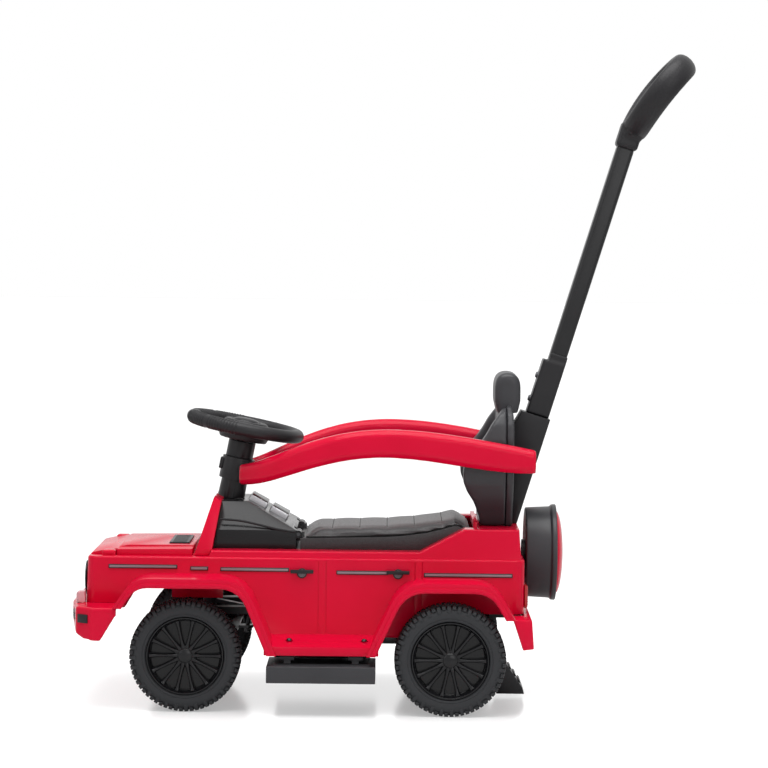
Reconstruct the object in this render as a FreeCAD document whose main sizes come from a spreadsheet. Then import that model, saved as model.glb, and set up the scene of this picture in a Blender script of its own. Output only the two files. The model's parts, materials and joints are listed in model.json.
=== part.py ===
"""Toddler push car with a lift-out parent handle, steered front wheels and a storage seat.

Millimetres, +Z up, front of the car at -X, left side at -Y, floor at Z = 0.
"""
import FreeCAD, Part
import os
import re
import Sketcher

V = FreeCAD.Vector

# Driving sizes of the car, one spreadsheet cell each.
SIZES = dict(
    # gap between touching pieces, sink of one fused form into another, and radial shaft clearances
    part_gap=0.3, sink=2, press_fit=0.02, close_fit=0.05, running_fit=0.08, sliding_fit=0.1,
    # tyres and rims, measured outwards from the middle plane of the wheel
    tyre_diameter=155, tyre_width=48, tyre_wall=8, tread_thick=6, tyre_shoulder=9, tread_round=2,
    bead_round=3, rim_diameter=108, rim_face=22, rim_back=21, rim_lip=4, dish_depth=10, hub_radius=9,
    hub_face=17, spoke_count=14, spoke_start=7, spoke_root=8, spoke_waist=5.2, spoke_tip=6.8,
    spoke_face=17.5, spoke_deep=8,
    # axles
    axle_diameter=10, axle_reach=13, axle_collar=4, front_axle_x=-280, wheelbase=367, front_track=288,
    rear_track=332, hanger_offset=46, hanger_wide=14, hanger_half=12,
    # body shell
    body_width=250, body_wall=4, flare_width=390, sill_width=374, upper_inset=4, upper_lean=5,
    tail_lean=3, front_overhang=142, nose_lean=2, cowl_setback=33, ramp_setback=43, ramp_run=62,
    rear_overhang=104, corner_round=14, edge_round=3, sill_height=83, ledge_rise=22, ledge_drop=10,
    nose_rise=63, tail_rise=52, shoulder_rise=36, belt_rise=9, quarter_rise=33, arch_clearance=20,
    rear_arch_clearance=17, flare_band=13, front_arch_shift=-4, front_arch_lead=62,
    front_arch_lead_foot=125, front_arch_lead_bend=16, front_arch_trail=79, front_arch_trail_foot=118,
    front_arch_trail_bend=28, rear_arch_lead=62, rear_arch_lead_foot=103, rear_arch_lead_bend=28,
    rear_arch_trail=54, rear_arch_trail_foot=107, rear_arch_trail_bend=22, seam_0=-98, seam_1=-87,
    seam_2=37, seam_3=47, seam_width=1.4, seam_depth=1, wing_offset=88, wing_wall=3, wing_front=24,
    wing_rear=48, wing_drop=25,
    # side trim, door handles and sill screws
    trim_start_0=-390, trim_end_0=-294, trim_start_1=-276, trim_end_1=-251, trim_start_2=-234,
    trim_end_2=-138, trim_start_3=-72, trim_end_3=0, trim_start_4=50, trim_end_4=174, trim_drop=11,
    trim_tall=5.6, trim_fall=0.018, trim_proud=1.5, door_handle_0=-120, door_handle_1=14,
    door_handle_length=32, door_handle_drop=10, door_handle_tall=5, door_handle_proud=6, door_boss=7,
    screw_0=-136, screw_1=-32, screw_inset=30, screw_radius=5, screw_sunk=3.5,
    # bonnet, windscreen cowl and grille
    hood_width=216, hood_rise=11, hood_gap=28, hood_setback=4, hood_slope=40, hood_dome_inset=34,
    vent_length=28, vent_width=100, vent_setback=8, vent_margin=4, vent_proud=2, vent_deep=6,
    vent_slots=8, cowl_foot=25, cowl_lean=11, cowl_lip=8, cowl_top_width=168, glass_width=164,
    glass_margin=10, glass_depth=1.2, grille_width=116, grille_low=14, grille_high=8, grille_proud=3,
    grille_margin=4, grille_bar=3, grille_slots=3,
    # lamps
    lamp_offset=88, lamp_drop=34, lamp_radius=20, lamp_rim=4, lamp_proud=2.4, lamp_well=1.2, lens_proud=1,
    fender_lamp_offset=96, fender_lamp_width=18, fender_lamp_long=18, fender_lamp_back=22,
    fender_lamp_rise=6, corner_lamp_offset=110, corner_lamp_width=20, corner_lamp_long=12.6,
    corner_lamp_tall=16, corner_lamp_round=5, tail_lamp_offset=84, tail_lamp_wide=32, tail_lamp_low=8,
    tail_lamp_tall=32, tail_lamp_proud=5,
    # bumpers
    bumper_proud=21, bumper_width=364, bumper_tall=47, bumper_wall=5, bumper_flat=184, bumper_sweep=12,
    bumper_turn=16, bumper_corner=34, bumper_end=94, chin_rise=24, chin_run=44, heel_rise=35, heel_run=22,
    intake_offset=104, intake_wide=46, intake_low=23, intake_tall=15, intake_deep=9, rear_bumper_proud=11,
    rear_bumper_width=372, rear_bumper_tall=42, rear_bumper_inside=268, rear_bumper_front=86,
    rear_bumper_heel=100, rear_bumper_lean=3,
    # dash and its two push buttons
    dash_ledge=8.5, dash_gap=6, dash_rise=64, dash_brow=10, dash_wall=4, dash_lean=30, dash_nose=10.8,
    dash_chamfer=6, dash_shoulder=26, button_width=56, button_long=28, button_gap=6, button_proud=11,
    button_deep=6, button_fit=0.4, shaft_hole_gap=1.5, sound_box_width=92, sound_box_long=74,
    sound_box_tall=51.7,
    # seat and storage
    seat_width=180, seat_gap=1.5, seat_back_gap=3.5, seat_front_x=-124, seat_length=240, seat_rise=15,
    seat_kick=20, seat_tuck=10, seat_wall=4, seat_stop_rise=7, seat_stop_thick=5.5, seat_stop_inset=8,
    cushion_crown=13, cushion_inset=6, hinge_front=3, hinge_rise=5, hinge_radius=5.5,
    hinge_pin=5, lug_offset=51, lug_wide=17, lug_gap=0.6, dash_lug_wide=15.4, tub_setback=16,
    tub_length=144, tub_width=156, tub_depth=86, tub_wall=3, tub_flange=20, tub_front_lip=119,
    # steering: the column leans back from its foot on the dash
    column_setback=7.56, column_rise=103, column_tilt=11, column_radius=18, column_foot_radius=19.5,
    column_gap=2.5, collar_low=19, collar_tall=32, collar_wall=3.5, collar_width=52, collar_ear=12,
    collar_ear_long=18, wheel_rim_radius=76, wheel_rim_thick=19, wheel_spoke=22, wheel_spoke_low=6,
    wheel_spoke_high=4, hub_low=20, hub_split=8, hub_foot=34, hub_middle=38, hub_top=30, horn_radius=20,
    horn_top=17, horn_gap=0.4, horn_low=4.5, horn_high=12, horn_well=1, shaft_diameter=10,
    crank_rise=59.2, crank_hub=10, crank_half=7, crank_thick=6, crank_pin=3, crank_reach=36,
    steering_arm=60, kingpin_gap=17, kingpin_diameter=8, kingpin_head=8, kingpin_head_thick=3.8,
    knuckle_radius=11, knuckle_low=20, beam_low=30.5, beam_tall=16, beam_half=18, beam_taper=40,
    lever_half=7, lever_low=12.5, lever_thick=6, eye_radius=8, tie_pin=3, tie_thick=4, tie_half=6,
    tie_tab=9, tie_slot=4.2, rail_offset=44, rail_wide=22, rail_tall=10, rail_front=36, pan_thick=5,
    pan_inset=7, spine_width=120, pan_corner=20,
    # guard rails, one station per group: distance along, out, up from the dash, then height and width
    arm_along_0=-213, arm_out_0=38.5, arm_up_0=36, arm_tall_0=28, arm_wide_0=24, arm_along_1=-172,
    arm_out_1=72, arm_up_1=46, arm_tall_1=34, arm_wide_1=30, arm_along_2=-115, arm_out_2=106, arm_up_2=68,
    arm_tall_2=38, arm_wide_2=28, arm_along_3=-30, arm_out_3=122, arm_up_3=87, arm_tall_3=39,
    arm_wide_3=26, arm_along_4=60, arm_out_4=124, arm_up_4=84, arm_tall_4=41, arm_wide_4=26,
    arm_along_5=140, arm_out_5=117, arm_up_5=72, arm_tall_5=41, arm_wide_5=26, arm_along_6=205,
    arm_out_6=112, arm_up_6=64, arm_tall_6=32, arm_wide_6=26, arm_chamfer=7,
    # backrest and headrest
    back_width=194, back_inset=26, back_rear_deep=10, back_tall=171, back_deep=61, back_waist=30,
    back_recess=22, headrest_width=90, headrest_sink=13, headrest_tall=57.7, headrest_front=16,
    headrest_rear=21, headrest_taper=4, headrest_round=9,
    # push handle: its axis leans back from the deck behind the backrest
    handle_inset=21.8, socket_rise=152.7, socket_width=52, socket_rear=13.5, socket_drop=24,
    handle_tilt=17.2, head_clearance=3, stem_diameter=20, stem_length=92, stem_gap=3, tube_deep=25,
    tube_wide=30, tube_length=404, tube_seat=40, sleeve_deep=33, sleeve_wide=38, sleeve_length=80,
    sleeve_shoulder=12, sleeve_taper=8, sleeve_setback=1.5, snap_radius=5, snap_low=20, snap_high=55,
    snap_proud=3.5, snap_long=7.5, snap_well=6, grip_tilt=40, grip_thick=31, grip_width=164,
    grip_length=158, grip_bar=26, grip_neck=28, grip_neck_wall=3.5, grip_round=9,
    # spare wheel, steps and anti-tip foot
    spare_rise=75, spare_radius=66, spare_depth=44, spare_gap=5, spare_boss=18, spare_lip=3,
    spare_lip_width=8, spare_wall=9, cover_inset=6, cover_dome=10.5, step_width=400, step_depth=93,
    step_drop=13.5, step_tall=23, step_front_x=-166, step_length=150, step_wall=4, step_rail_inset=28,
    rail_half=14, rail_reach=118, rail_lip=3.5, key_half=10, key_neck=5, key_tall=6,
    key_gap=0.4, key_inner=60, key_outer=28, foot_width=56, foot_clearance=8, foot_front=30,
    foot_strap=32, foot_reach=110, foot_sole=40, foot_lip=8, foot_wall=6,
)

# Names for positions that follow from the driving sizes.
DERIVED = dict(
    # across and along the car
    door_y="body_width / 2", flare_y="flare_width / 2", sill_y="sill_width / 2", seat_y="seat_width / 2",
    opening_y="seat_y + seat_gap", tub_y="tub_width / 2", back_y="back_width / 2",
    step_y="step_width / 2", front_wheel_y="front_track / 2", rear_wheel_y="rear_track / 2",
    kingpin_y="front_wheel_y - tyre_width / 2 - kingpin_gap", hanger_y="hanger_offset + hanger_wide",
    lug_y="lug_offset + lug_wide", dash_lug_y="lug_y + lug_gap", rear_axle_x="front_axle_x + wheelbase",
    front_arch_x="front_axle_x + front_arch_shift", nose_x="front_axle_x - front_overhang",
    tail_x="rear_axle_x + rear_overhang", cowl_x="front_axle_x + cowl_setback",
    ramp_x="rear_axle_x - ramp_setback", hood_rear_x="cowl_x - hood_gap",
    bumper_x="nose_x - bumper_proud", rear_bumper_x="tail_x + rear_bumper_proud",
    fender_lamp_x="nose_x + fender_lamp_back", pivot_x="front_axle_x + steering_arm",
    pan_front_x="front_arch_x + front_arch_trail_foot - 1",
    pan_rear_x="rear_axle_x - rear_arch_lead_foot + 1",
    spine_end_x="rear_axle_x + foot_front + foot_strap", dash_front_x="cowl_x + part_gap * 2",
    dash_rear_x="seat_front_x - dash_gap", dash_top_x="column_x + column_foot_radius + dash_ledge",
    hinge_x="seat_front_x - hinge_front", seat_rear_x="seat_front_x + seat_length",
    tub_front_x="seat_front_x + tub_setback", tub_rear_x="tub_front_x + tub_length",
    back_split_x="tail_x - back_inset", back_rear_x="back_split_x + back_rear_deep",
    spare_x="tail_x + spare_gap", step_rear_x="step_front_x + step_length",
    step_rail_0="step_front_x + step_rail_inset", step_rail_1="step_rear_x - step_rail_inset",
    # heights, each standing on the one below it
    axle_z="tyre_diameter / 2", axle_r="axle_diameter / 2", kingpin_r="kingpin_diameter / 2",
    ledge_height="sill_height + ledge_rise", nose_height="sill_height + nose_rise",
    tail_height="sill_height + tail_rise", arch_height="tyre_diameter + arch_clearance",
    rear_arch_height="tyre_diameter + rear_arch_clearance", shoulder_height="arch_height + shoulder_rise",
    belt_height="shoulder_height + belt_rise", quarter_height="belt_height + quarter_rise",
    deck_under="belt_height - body_wall", deck_top="quarter_height + part_gap",
    hood_top="shoulder_height + hood_rise", trim_height="shoulder_height - trim_drop",
    door_handle_height="trim_height - door_handle_drop", lamp_height="shoulder_height - lamp_drop",
    bumper_bottom="nose_height - bumper_tall", rear_bumper_bottom="tail_height - rear_bumper_tall",
    seat_shoulder="belt_height + seat_rise", hinge_height="seat_shoulder + hinge_rise",
    dash_height="belt_height + dash_rise", dash_low="hinge_height + dash_brow",
    dash_base="deck_under + part_gap", tub_floor="deck_under - tub_depth",
    spare_height="tail_height + spare_rise", step_top="sill_height - step_drop",
    step_bottom="step_top - step_tall", rail_low="step_top + 1", key_low="step_top + 1 + rail_lip",
    beam_top="axle_z + beam_low + beam_tall", lever_z="axle_z + lever_low",
    tie_low="lever_z + lever_thick + part_gap", tie_high="tie_low + tie_thick",
    tie_middle="tie_low + tie_thick / 2", crank_height="axle_z + crank_rise",
    # steering column, from where its axis meets the belt line behind the cowl
    column_x="cowl_x + column_setback + dash_rise * tan(column_tilt)",
    wheel_height="dash_height + column_rise", wheel_x="column_x + column_rise * tan(column_tilt)",
    crank_drop="(wheel_height - crank_height) / cos(column_tilt)",
    column_foot="column_rise / cos(column_tilt) + column_radius * 0.4",
    collar_top="dash_height + collar_low + collar_tall",
    collar_drop="(wheel_height - collar_top) / cos(column_tilt) - column_radius * 0.4",
    # push handle
    handle_foot_x="tail_x - handle_inset", handle_height="deck_top + socket_rise",
    handle_x="handle_foot_x + socket_rise * tan(handle_tilt)",
    sleeve_back="tube_deep / 2 - sleeve_setback", sleeve_front="sleeve_back - sleeve_deep",
    tube_front="sleeve_back - tube_deep - 1", tube_back="sleeve_back - 1",
)

doc = FreeCAD.newDocument("push_car")
sheet = doc.addObject("Spreadsheet::Sheet", "Sizes")
for row, (name, value) in enumerate(SIZES.items(), 1):
    sheet.set("A%d" % row, name)
    sheet.set("B%d" % row, str(value))
    sheet.setAlias("B%d" % row, name)
doc.recompute()
pieces = []


def fx(text):
    """Expression text with every size name pointed at the spreadsheet."""
    def swap(match):
        word = match.group(0)
        if word in DERIVED:
            return "(" + fx(DERIVED[word]) + ")"
        return "Sizes." + word if word in SIZES else word
    return re.sub(r"[a-z][a-z_0-9]*", swap, str(text))


def val(text):
    return float(sheet.evalExpression(fx(text)))


def bind(obj, **props):
    for prop, text in props.items():
        obj.setExpression(prop.replace("__", "."), fx(text))


def place(obj, x=0, y=0, z=0, axis=None, angle=0):
    """Bind an object's position, and its turn about one axis, to sizes."""
    if axis:
        obj.Placement = FreeCAD.Placement(V(), FreeCAD.Rotation(V(*axis), val(angle)))
        bind(obj, Placement__Rotation__Angle=angle)
    bind(obj, Placement__Base__x=x, Placement__Base__y=y, Placement__Base__z=z)
    return obj


def add(kind, label, **props):
    obj = doc.addObject(kind, label)
    obj.Label = label
    bind(obj, **props)
    return obj


def box(label, x, y, z):
    """Block from three (low, high) ranges."""
    obj = add("Part::Box", label, Length="(%s) - (%s)" % (x[1], x[0]),
              Width="(%s) - (%s)" % (y[1], y[0]), Height="(%s) - (%s)" % (z[1], z[0]))
    return place(obj, x[0], y[0], z[0])


AXES = dict(x=((0, 1, 0), 90), y=((1, 0, 0), -90))


def rod(label, radius, low, high, across, axis="z"):
    """Cylinder along an axis; `across` holds its other two coordinates in X, Y, Z order."""
    obj = add("Part::Cylinder", label, Radius=radius, Height="(%s) - (%s)" % (high, low))
    spot = list(across)
    spot.insert("xyz".index(axis), low)
    turn = AXES.get(axis)
    return place(obj, *spot, *(turn or ()))


def tilted(frame, across, along):
    """World x and z of a point in a frame (x, z, tilt) that leans to the rear."""
    x, z, tilt = frame
    return ("%s + (%s) * cos(%s) + (%s) * sin(%s)" % (x, across, tilt, along, tilt),
            "%s - (%s) * sin(%s) + (%s) * cos(%s)" % (z, across, tilt, along, tilt))


def tilted_rod(label, frame, radius, low, high, top_radius=None, across="0"):
    """Cylinder or cone along the leaning axis of a frame."""
    kind = "Part::Cone" if top_radius else "Part::Cylinder"
    obj = add(kind, label, Height="(%s) - (%s)" % (high, low))
    bind(obj, **(dict(Radius1=radius, Radius2=top_radius) if top_radius else dict(Radius=radius)))
    x, z = tilted(frame, across, low)
    return place(obj, x, 0, z, (0, 1, 0), frame[2])


def tilted_box(label, frame, across, y, along):
    obj = add("Part::Box", label, Length="(%s) - (%s)" % (across[1], across[0]),
              Width="(%s) - (%s)" % (y[1], y[0]), Height="(%s) - (%s)" % (along[1], along[0]))
    x, z = tilted(frame, across[0], along[0])
    return place(obj, x, y[0], z, (0, 1, 0), frame[2])


def outline(label, polygons):
    """Sketch of closed polygons whose corners are all driven by sizes."""
    sketch = add("Sketcher::SketchObject", label)
    for points in polygons:
        corners = [V(val(a), val(b), 0) for a, b in points]
        first = sketch.GeometryCount
        count = len(points)
        for i, corner in enumerate(corners):
            sketch.addGeometry(Part.LineSegment(corner, corners[(i + 1) % count]))
        for i, corner in enumerate(corners):
            sketch.addConstraint(Sketcher.Constraint(
                "Coincident", first + (i - 1) % count, 2, first + i, 1))
        for i, corner in enumerate(corners):
            for way, size, text in (("X", corner.x, points[i][0]), ("Y", corner.y, points[i][1])):
                k = sketch.addConstraint(Sketcher.Constraint(
                    "Distance" + way, -1, 1, first + i, 1, size))
                sketch.setExpression("Constraints[%d]" % k, fx(text))
    return sketch


FACING = dict(x=((1, 1, 1), 120), y=((1, 0, 0), 90), z=None)
ALONG = dict(x=V(1, 0, 0), y=V(0, 1, 0), z=V(0, 0, 1))


def prism(label, axis, points, low, high):
    """Solid between two planes across an axis; one polygon or a list of polygons."""
    polygons = points if isinstance(points[0], list) else [points]
    sketch = outline(label + "_outline", polygons)
    if FACING[axis]:
        sketch.Placement = FreeCAD.Placement(V(), FreeCAD.Rotation(V(*FACING[axis][0]), FACING[axis][1]))
    obj = add("Part::Extrusion", label)
    obj.Base, obj.DirMode, obj.Dir, obj.Solid = sketch, "Custom", ALONG[axis], True
    obj.FaceMakerClass = "Part::FaceMakerBullseye"
    bind(obj, LengthFwd=high, LengthRev="-(%s)" % low)
    return obj


def slab(label, points, half_width):
    """Side profile in X and Z carried across the car, the same on both sides."""
    return prism(label, "y", points, "-(%s)" % half_width, half_width)


def fuse(label, *parts):
    obj = add("Part::MultiFuse", label)
    obj.Shapes, obj.Refine = list(parts), True
    return obj


def cut(label, base, *tools):
    obj = add("Part::Cut", label)
    obj.Base = base
    obj.Tool = tools[0] if len(tools) == 1 else fuse(label + "_cutters", *tools)
    return obj


def mirror(label, source):
    obj = add("Part::Mirroring", label)
    obj.Source, obj.Normal = source, V(0, 1, 0)
    return obj


def both(label, left):
    """A left-hand form together with its right-hand mirror image."""
    obj = add("Part::Compound", label)
    obj.Links = [left, mirror(label + "_mirror", left)]
    return obj


def rounded(label, base, *rounds):
    """Body made from a base form, with the edges each test picks rounded to a bound radius."""
    body = add("PartDesign::Body", label)
    body.BaseFeature = base
    body.setExpression("Placement", base.Name + ".Placement")
    doc.recompute()
    for i, (radius, test) in enumerate(rounds):
        before = body.Tip
        names = ["Edge%d" % (k + 1) for k, e in enumerate(body.Shape.Edges) if test(e.BoundBox)]
        step = body.newObject("PartDesign::Fillet", "%s_round_%d" % (label, i))
        step.Base = (before, names)
        bind(step, Radius=radius)
        body.Tip = step
        doc.recompute()
    return body


def keep(obj, label=None):
    if label:
        obj.Label = label
    pieces.append(obj)
    return obj


def sides(text):
    """Low and high Y of a strip on the left and on the right."""
    low, high = text
    return ("-(%s)" % high, "-(%s)" % low), (low, high)


# Body shell: lower block, inset upper block, flares and step ledges, hollow from below.
def bend(start, corner, end, steps=5):
    """Points on a curve that leaves one point towards a corner and arrives at another point."""
    points = []
    for i in range(steps + 1):
        t = i / steps
        shares = list(zip((start, corner, end), ((1 - t) ** 2, 2 * t * (1 - t), t ** 2)))
        points.append(tuple(" + ".join("(%s) * %.4f" % (spot[k], share) for spot, share in shares)
                            for k in (0, 1)))
    return points


def arch(centre, name, height, grow, low):
    """Wheel opening about the axle, with leaning legs and rounded corners; `grow` widens it all round."""
    peak = "(%s + %s)" % (height, grow)

    def leg(end, away, back, foot):
        half = "%s_%s" % (name, end)
        lean = "((%s_foot - %s) / (%s - sill_height))" % (half, half, height)
        turn = "(%s_bend + %s / 2)" % (half, grow)

        def at(z):
            return ("%s %s (%s + (%s - (%s)) * %s + %s)" % (centre, away, half, height, z, lean, grow), z)
        corner = at(peak)
        start = at("%s - %s / sqrt(1 + %s ^ 2)" % (peak, turn, lean))
        return [at(foot)] + bend(start, corner, ("%s %s %s" % (corner[0], back, turn), peak))
    front, rear = low
    points = leg("lead", "-", "+", front) + leg("trail", "+", "-", rear)[::-1]
    return points if front == rear else points + [(centre, rear), (centre, front)]


SIDES = ("left", "right")
SCREWS = ("screw_0", "screw_1")
FRONT = ("front_arch_x", "front_arch", "arch_height")
REAR = ("rear_axle_x", "rear_arch", "rear_arch_height")


def body_shell():
    """The hollow body with its ledges, inner wings, fender lamps and seat stop."""
    solid = fuse("shell_solid", *shell_blocks(), *flares())
    hollowed = cut("shell_hollowed", solid, *shell_hollows(), *wheel_openings(), *door_seams())
    extra = ledges()
    for side, y in zip(SIDES, sides(("wing_offset", "wing_offset + wing_wall"))):
        extra.append(box("inner_wing_" + side, ("front_axle_x - wing_front", "front_axle_x + wing_rear"), y,
                         ("arch_height - wing_drop", "shoulder_height - sink")))
    for side, y in zip(SIDES, sides(("fender_lamp_offset", "fender_lamp_offset + fender_lamp_width"))):
        extra.append(box("fender_lamp_" + side, ("fender_lamp_x", "fender_lamp_x + fender_lamp_long"), y,
                         ("shoulder_height - sink", "shoulder_height + fender_lamp_rise")))
    stop_x = "seat_rear_x + seat_back_gap"
    extra.append(box("seat_stop", (stop_x, stop_x + " + seat_stop_thick"),
                     ("-seat_y + seat_stop_inset", "seat_y - seat_stop_inset"),
                     ("quarter_height - sink", "quarter_height + seat_stop_rise")))
    keep(fuse("body_shell", hollowed, *extra))


def shell_blocks():
    """The lower and the inset upper block of the body, with rounded corners and top edges."""
    tail_base = "tail_height + part_gap"
    lower = slab("shell_lower", [
        ("nose_x", "nose_height"), ("nose_x + nose_lean", "shoulder_height"),
        ("tail_x", "shoulder_height"), ("tail_x", tail_base), ("rear_axle_x", tail_base),
        ("rear_axle_x", "ledge_height - body_wall"), ("front_axle_x", "ledge_height - body_wall"),
        ("front_axle_x", "nose_height")], "door_y")
    upper = slab("shell_upper", [
        ("cowl_x - upper_lean", "shoulder_height - sink"), ("cowl_x", "belt_height"),
        ("ramp_x", "belt_height"), ("ramp_x + ramp_run", "quarter_height"),
        ("tail_x - upper_lean - tail_lean", "quarter_height"),
        ("tail_x - upper_lean", "shoulder_height - sink")], "door_y - upper_inset")
    door, top, inset = val("door_y"), val("shoulder_height"), val("door_y - upper_inset")
    nose, tail = val("nose_x + 2 * nose_lean"), val("tail_x")

    def is_corner(b):
        upright = b.YLength < 0.1 and b.XLength < val("nose_lean") + 1 and b.ZLength > val("body_wall")
        return upright and abs(abs(b.YMin) - door) < 0.1 and (b.XMax < nose or b.XMin > tail - 1)

    def is_top(b):
        return b.ZLength < 0.1 and abs(b.ZMin - top) < 0.1

    def is_upper_edge(b):
        outside = abs(abs(b.YMin) - inset) < 0.1 and b.YLength < 0.1
        return outside and b.ZMax > top + 1 and (b.ZMin > top + 1 or b.XLength < val("upper_lean"))

    return [rounded("shell_lower_soft", lower, ("corner_round", is_corner), ("edge_round", is_top)),
            rounded("shell_upper_soft", upper, ("edge_round", is_upper_edge))]


def flares():
    """Bands that stand out round the wheel openings."""
    front_low, rear_low = ("nose_height", "sill_height"), ("sill_height", "tail_height")
    bands = []
    for side, (low, high) in zip(SIDES, sides(("door_y", "flare_y"))):
        bands += [prism("front_flare_" + side, "y", arch(*FRONT, "flare_band", front_low), low, high),
                  prism("rear_flare_" + side, "y", arch(*REAR, "flare_band", rear_low), low, high)]
    return bands


def shell_hollows():
    """The inside of the body and the opening for dash and seat in its deck."""
    lower = slab("shell_hollow_lower", [
        ("nose_x + body_wall", "0"), ("nose_x + body_wall + nose_lean", "shoulder_height - body_wall"),
        ("tail_x - body_wall", "shoulder_height - body_wall"), ("tail_x - body_wall", "0")],
        "door_y - body_wall")
    neck = "shoulder_height - 2 * body_wall"
    back = "tail_x - upper_lean - tail_lean - body_wall"
    upper = slab("shell_hollow_upper", [
        ("cowl_x", neck), ("cowl_x + body_wall", "deck_under"), ("ramp_x + part_gap", "deck_under"),
        ("ramp_x + ramp_run + part_gap", "quarter_height - body_wall"),
        (back, "quarter_height - body_wall"), (back, neck)], "door_y - upper_inset - body_wall")
    opening = box("seat_opening", ("cowl_x - edge_round", "seat_rear_x + seat_back_gap"),
                  ("-opening_y", "opening_y"), (neck, "quarter_height + body_wall"))
    return [lower, upper, opening]


def wheel_openings():
    """The wheel openings, widened behind the flares so that these are thin lips."""
    floor = ("0", "0")
    behind = "flare_band - body_wall"
    holes = [slab("front_arch", arch(*FRONT, "0", floor), "flare_y + body_wall"),
             slab("front_arch_inside", arch(*FRONT, behind, floor), "flare_y - body_wall")]
    for name, grow, far in (("rear_arch_", "0", "flare_y + body_wall"),
                            ("rear_arch_inside_", behind, "flare_y - body_wall")):
        for side, (low, high) in zip(SIDES, sides(("door_y", far))):
            holes.append(prism(name + side, "y", arch(*REAR, grow, floor), low, high))
    return holes


def door_seams():
    """Shallow grooves that mark the doors."""
    grooves = []
    for seam in ("seam_0", "seam_1", "seam_2", "seam_3"):
        for side, y in zip(SIDES, sides(("door_y - seam_depth", "door_y + seam_depth"))):
            grooves.append(box("door_%s_%s" % (seam, side), (seam, seam + " + seam_width"), y,
                               ("ledge_height + sink", "shoulder_height - body_wall")))
    return grooves


def ledges():
    """Sloping ledge over each step, with its screw holes."""
    inner, under = "door_y - body_wall", "sill_y - body_wall"
    skin = [(inner, "ledge_height"), ("sill_y", "ledge_height - ledge_drop"), ("sill_y", "sill_height"),
            (under, "sill_height"), (under, "ledge_height - ledge_drop - edge_round"),
            (inner, "ledge_height - body_wall")]
    left = cut("ledge_left",
               prism("ledge_skin", "x", [("-(%s)" % y, z) for y, z in skin],
                     "front_arch_x + front_arch_trail_foot - body_wall",
                     "rear_axle_x - rear_arch_lead_foot + body_wall"),
               *[rod("ledge_hole_" + x, "screw_radius + part_gap", "0", "ledge_height + ledge_drop",
                     (x, "-sill_y + screw_inset")) for x in SCREWS])
    return [left, mirror("ledge_right", left)]


def front_end():
    """Bonnet, vent, windscreen cowl, grille, lamps and front bumper."""
    hood()
    cowl()
    grille_top, grille_foot = "shoulder_height - grille_high", "nose_height + grille_low"
    frame = box("grille_frame", ("nose_x - grille_proud", "nose_x - part_gap"),
                ("-grille_width / 2", "grille_width / 2"), (grille_foot, grille_top))
    pitch = "(%s - (%s) - 2 * grille_margin + grille_bar) / grille_slots" % (grille_top, grille_foot)
    slots = []
    for i in range(SIZES["grille_slots"]):
        low = "%s + grille_margin + %d * %s" % (grille_foot, i, pitch)
        slots.append(box("grille_slot_%d" % i, ("nose_x - grille_proud - 1", "nose_x - grille_proud / 2"),
                         ("-grille_width / 2 + grille_proud", "grille_width / 2 - grille_proud"),
                         (low, "%s + %s - grille_bar" % (low, pitch))))
    keep(cut("grille", frame, *slots))
    middle = ("-lamp_offset", "lamp_height")
    ring = rod("lamp_ring", "lamp_radius + lamp_rim", "nose_x - lamp_proud", "nose_x - part_gap", middle, "x")
    well = rod("lamp_seat", "lamp_radius + part_gap", "nose_x - 2 * lamp_proud", "nose_x - lamp_well",
               middle, "x")
    keep(both("headlamp_bezels", cut("lamp_ring_left", ring, well)))
    keep(both("headlamp_lenses", rod("lamp_lens", "lamp_radius", "nose_x - lamp_proud - lens_proud",
                                     "nose_x - lamp_well", middle, "x")))
    bumper()


def hood():
    """Bonnet with a raised middle, and the slotted vent in it."""
    def slope(run, rise):
        return ("nose_x + hood_setback + hood_slope * %s" % run, "shoulder_height + hood_rise * %s" % rise)
    base = slab("hood_base", [
        slope("0", "0"), slope("0.05", "0.19"), slope("0.45", "0.5"), slope("1", "0.75"),
        ("hood_rear_x", "shoulder_height + hood_rise * 0.875"), ("hood_rear_x", "shoulder_height")],
        "hood_width / 2")
    dome = slab("hood_dome", [
        slope("0.5", "0.125"), slope("1", "0.81"), slope("1.3", "1"), ("hood_rear_x", "hood_top"),
        ("hood_rear_x", "shoulder_height + sink")], "hood_width / 2 - hood_dome_inset")
    notch = [box("hood_notch_" + side, ("nose_x", "fender_lamp_x + fender_lamp_long + sink"), y,
                 ("shoulder_height - sink", "hood_top + sink"))
             for side, y in zip(SIDES, sides(("fender_lamp_offset - sink", "door_y")))]
    rear, half, floor = "hood_rear_x - vent_setback", "vent_width / 2", "hood_top - vent_deep"
    fit = "(part_gap + 0.2)"
    seat = box("hood_vent_seat", ("%s - vent_length - %s" % (rear, fit), "%s + %s" % (rear, fit)),
               ("-(%s) - %s" % (half, fit), "%s + %s" % (half, fit)),
               (floor + " - part_gap", "hood_top + sink"))
    keep(cut("hood", fuse("hood_solid", base, dome), seat, *notch))
    plate = box("vent_plate", (rear + " - vent_length", rear), ("-(%s)" % half, half),
                (floor, "hood_top + vent_proud"))
    pitch = "vent_width / vent_slots"
    slots = [box("vent_slot_%d" % i, (rear + " - vent_length + vent_margin", rear + " - vent_margin"),
                 ("-(%s) + %s * %s" % (half, pitch, i + 0.25), "-(%s) + %s * %s" % (half, pitch, i + 0.75)),
                 ("hood_top - edge_round", "hood_top + vent_proud + 1"))
             for i in range(SIZES["vent_slots"])]
    keep(cut("hood_vent", plate, *slots))


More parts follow.
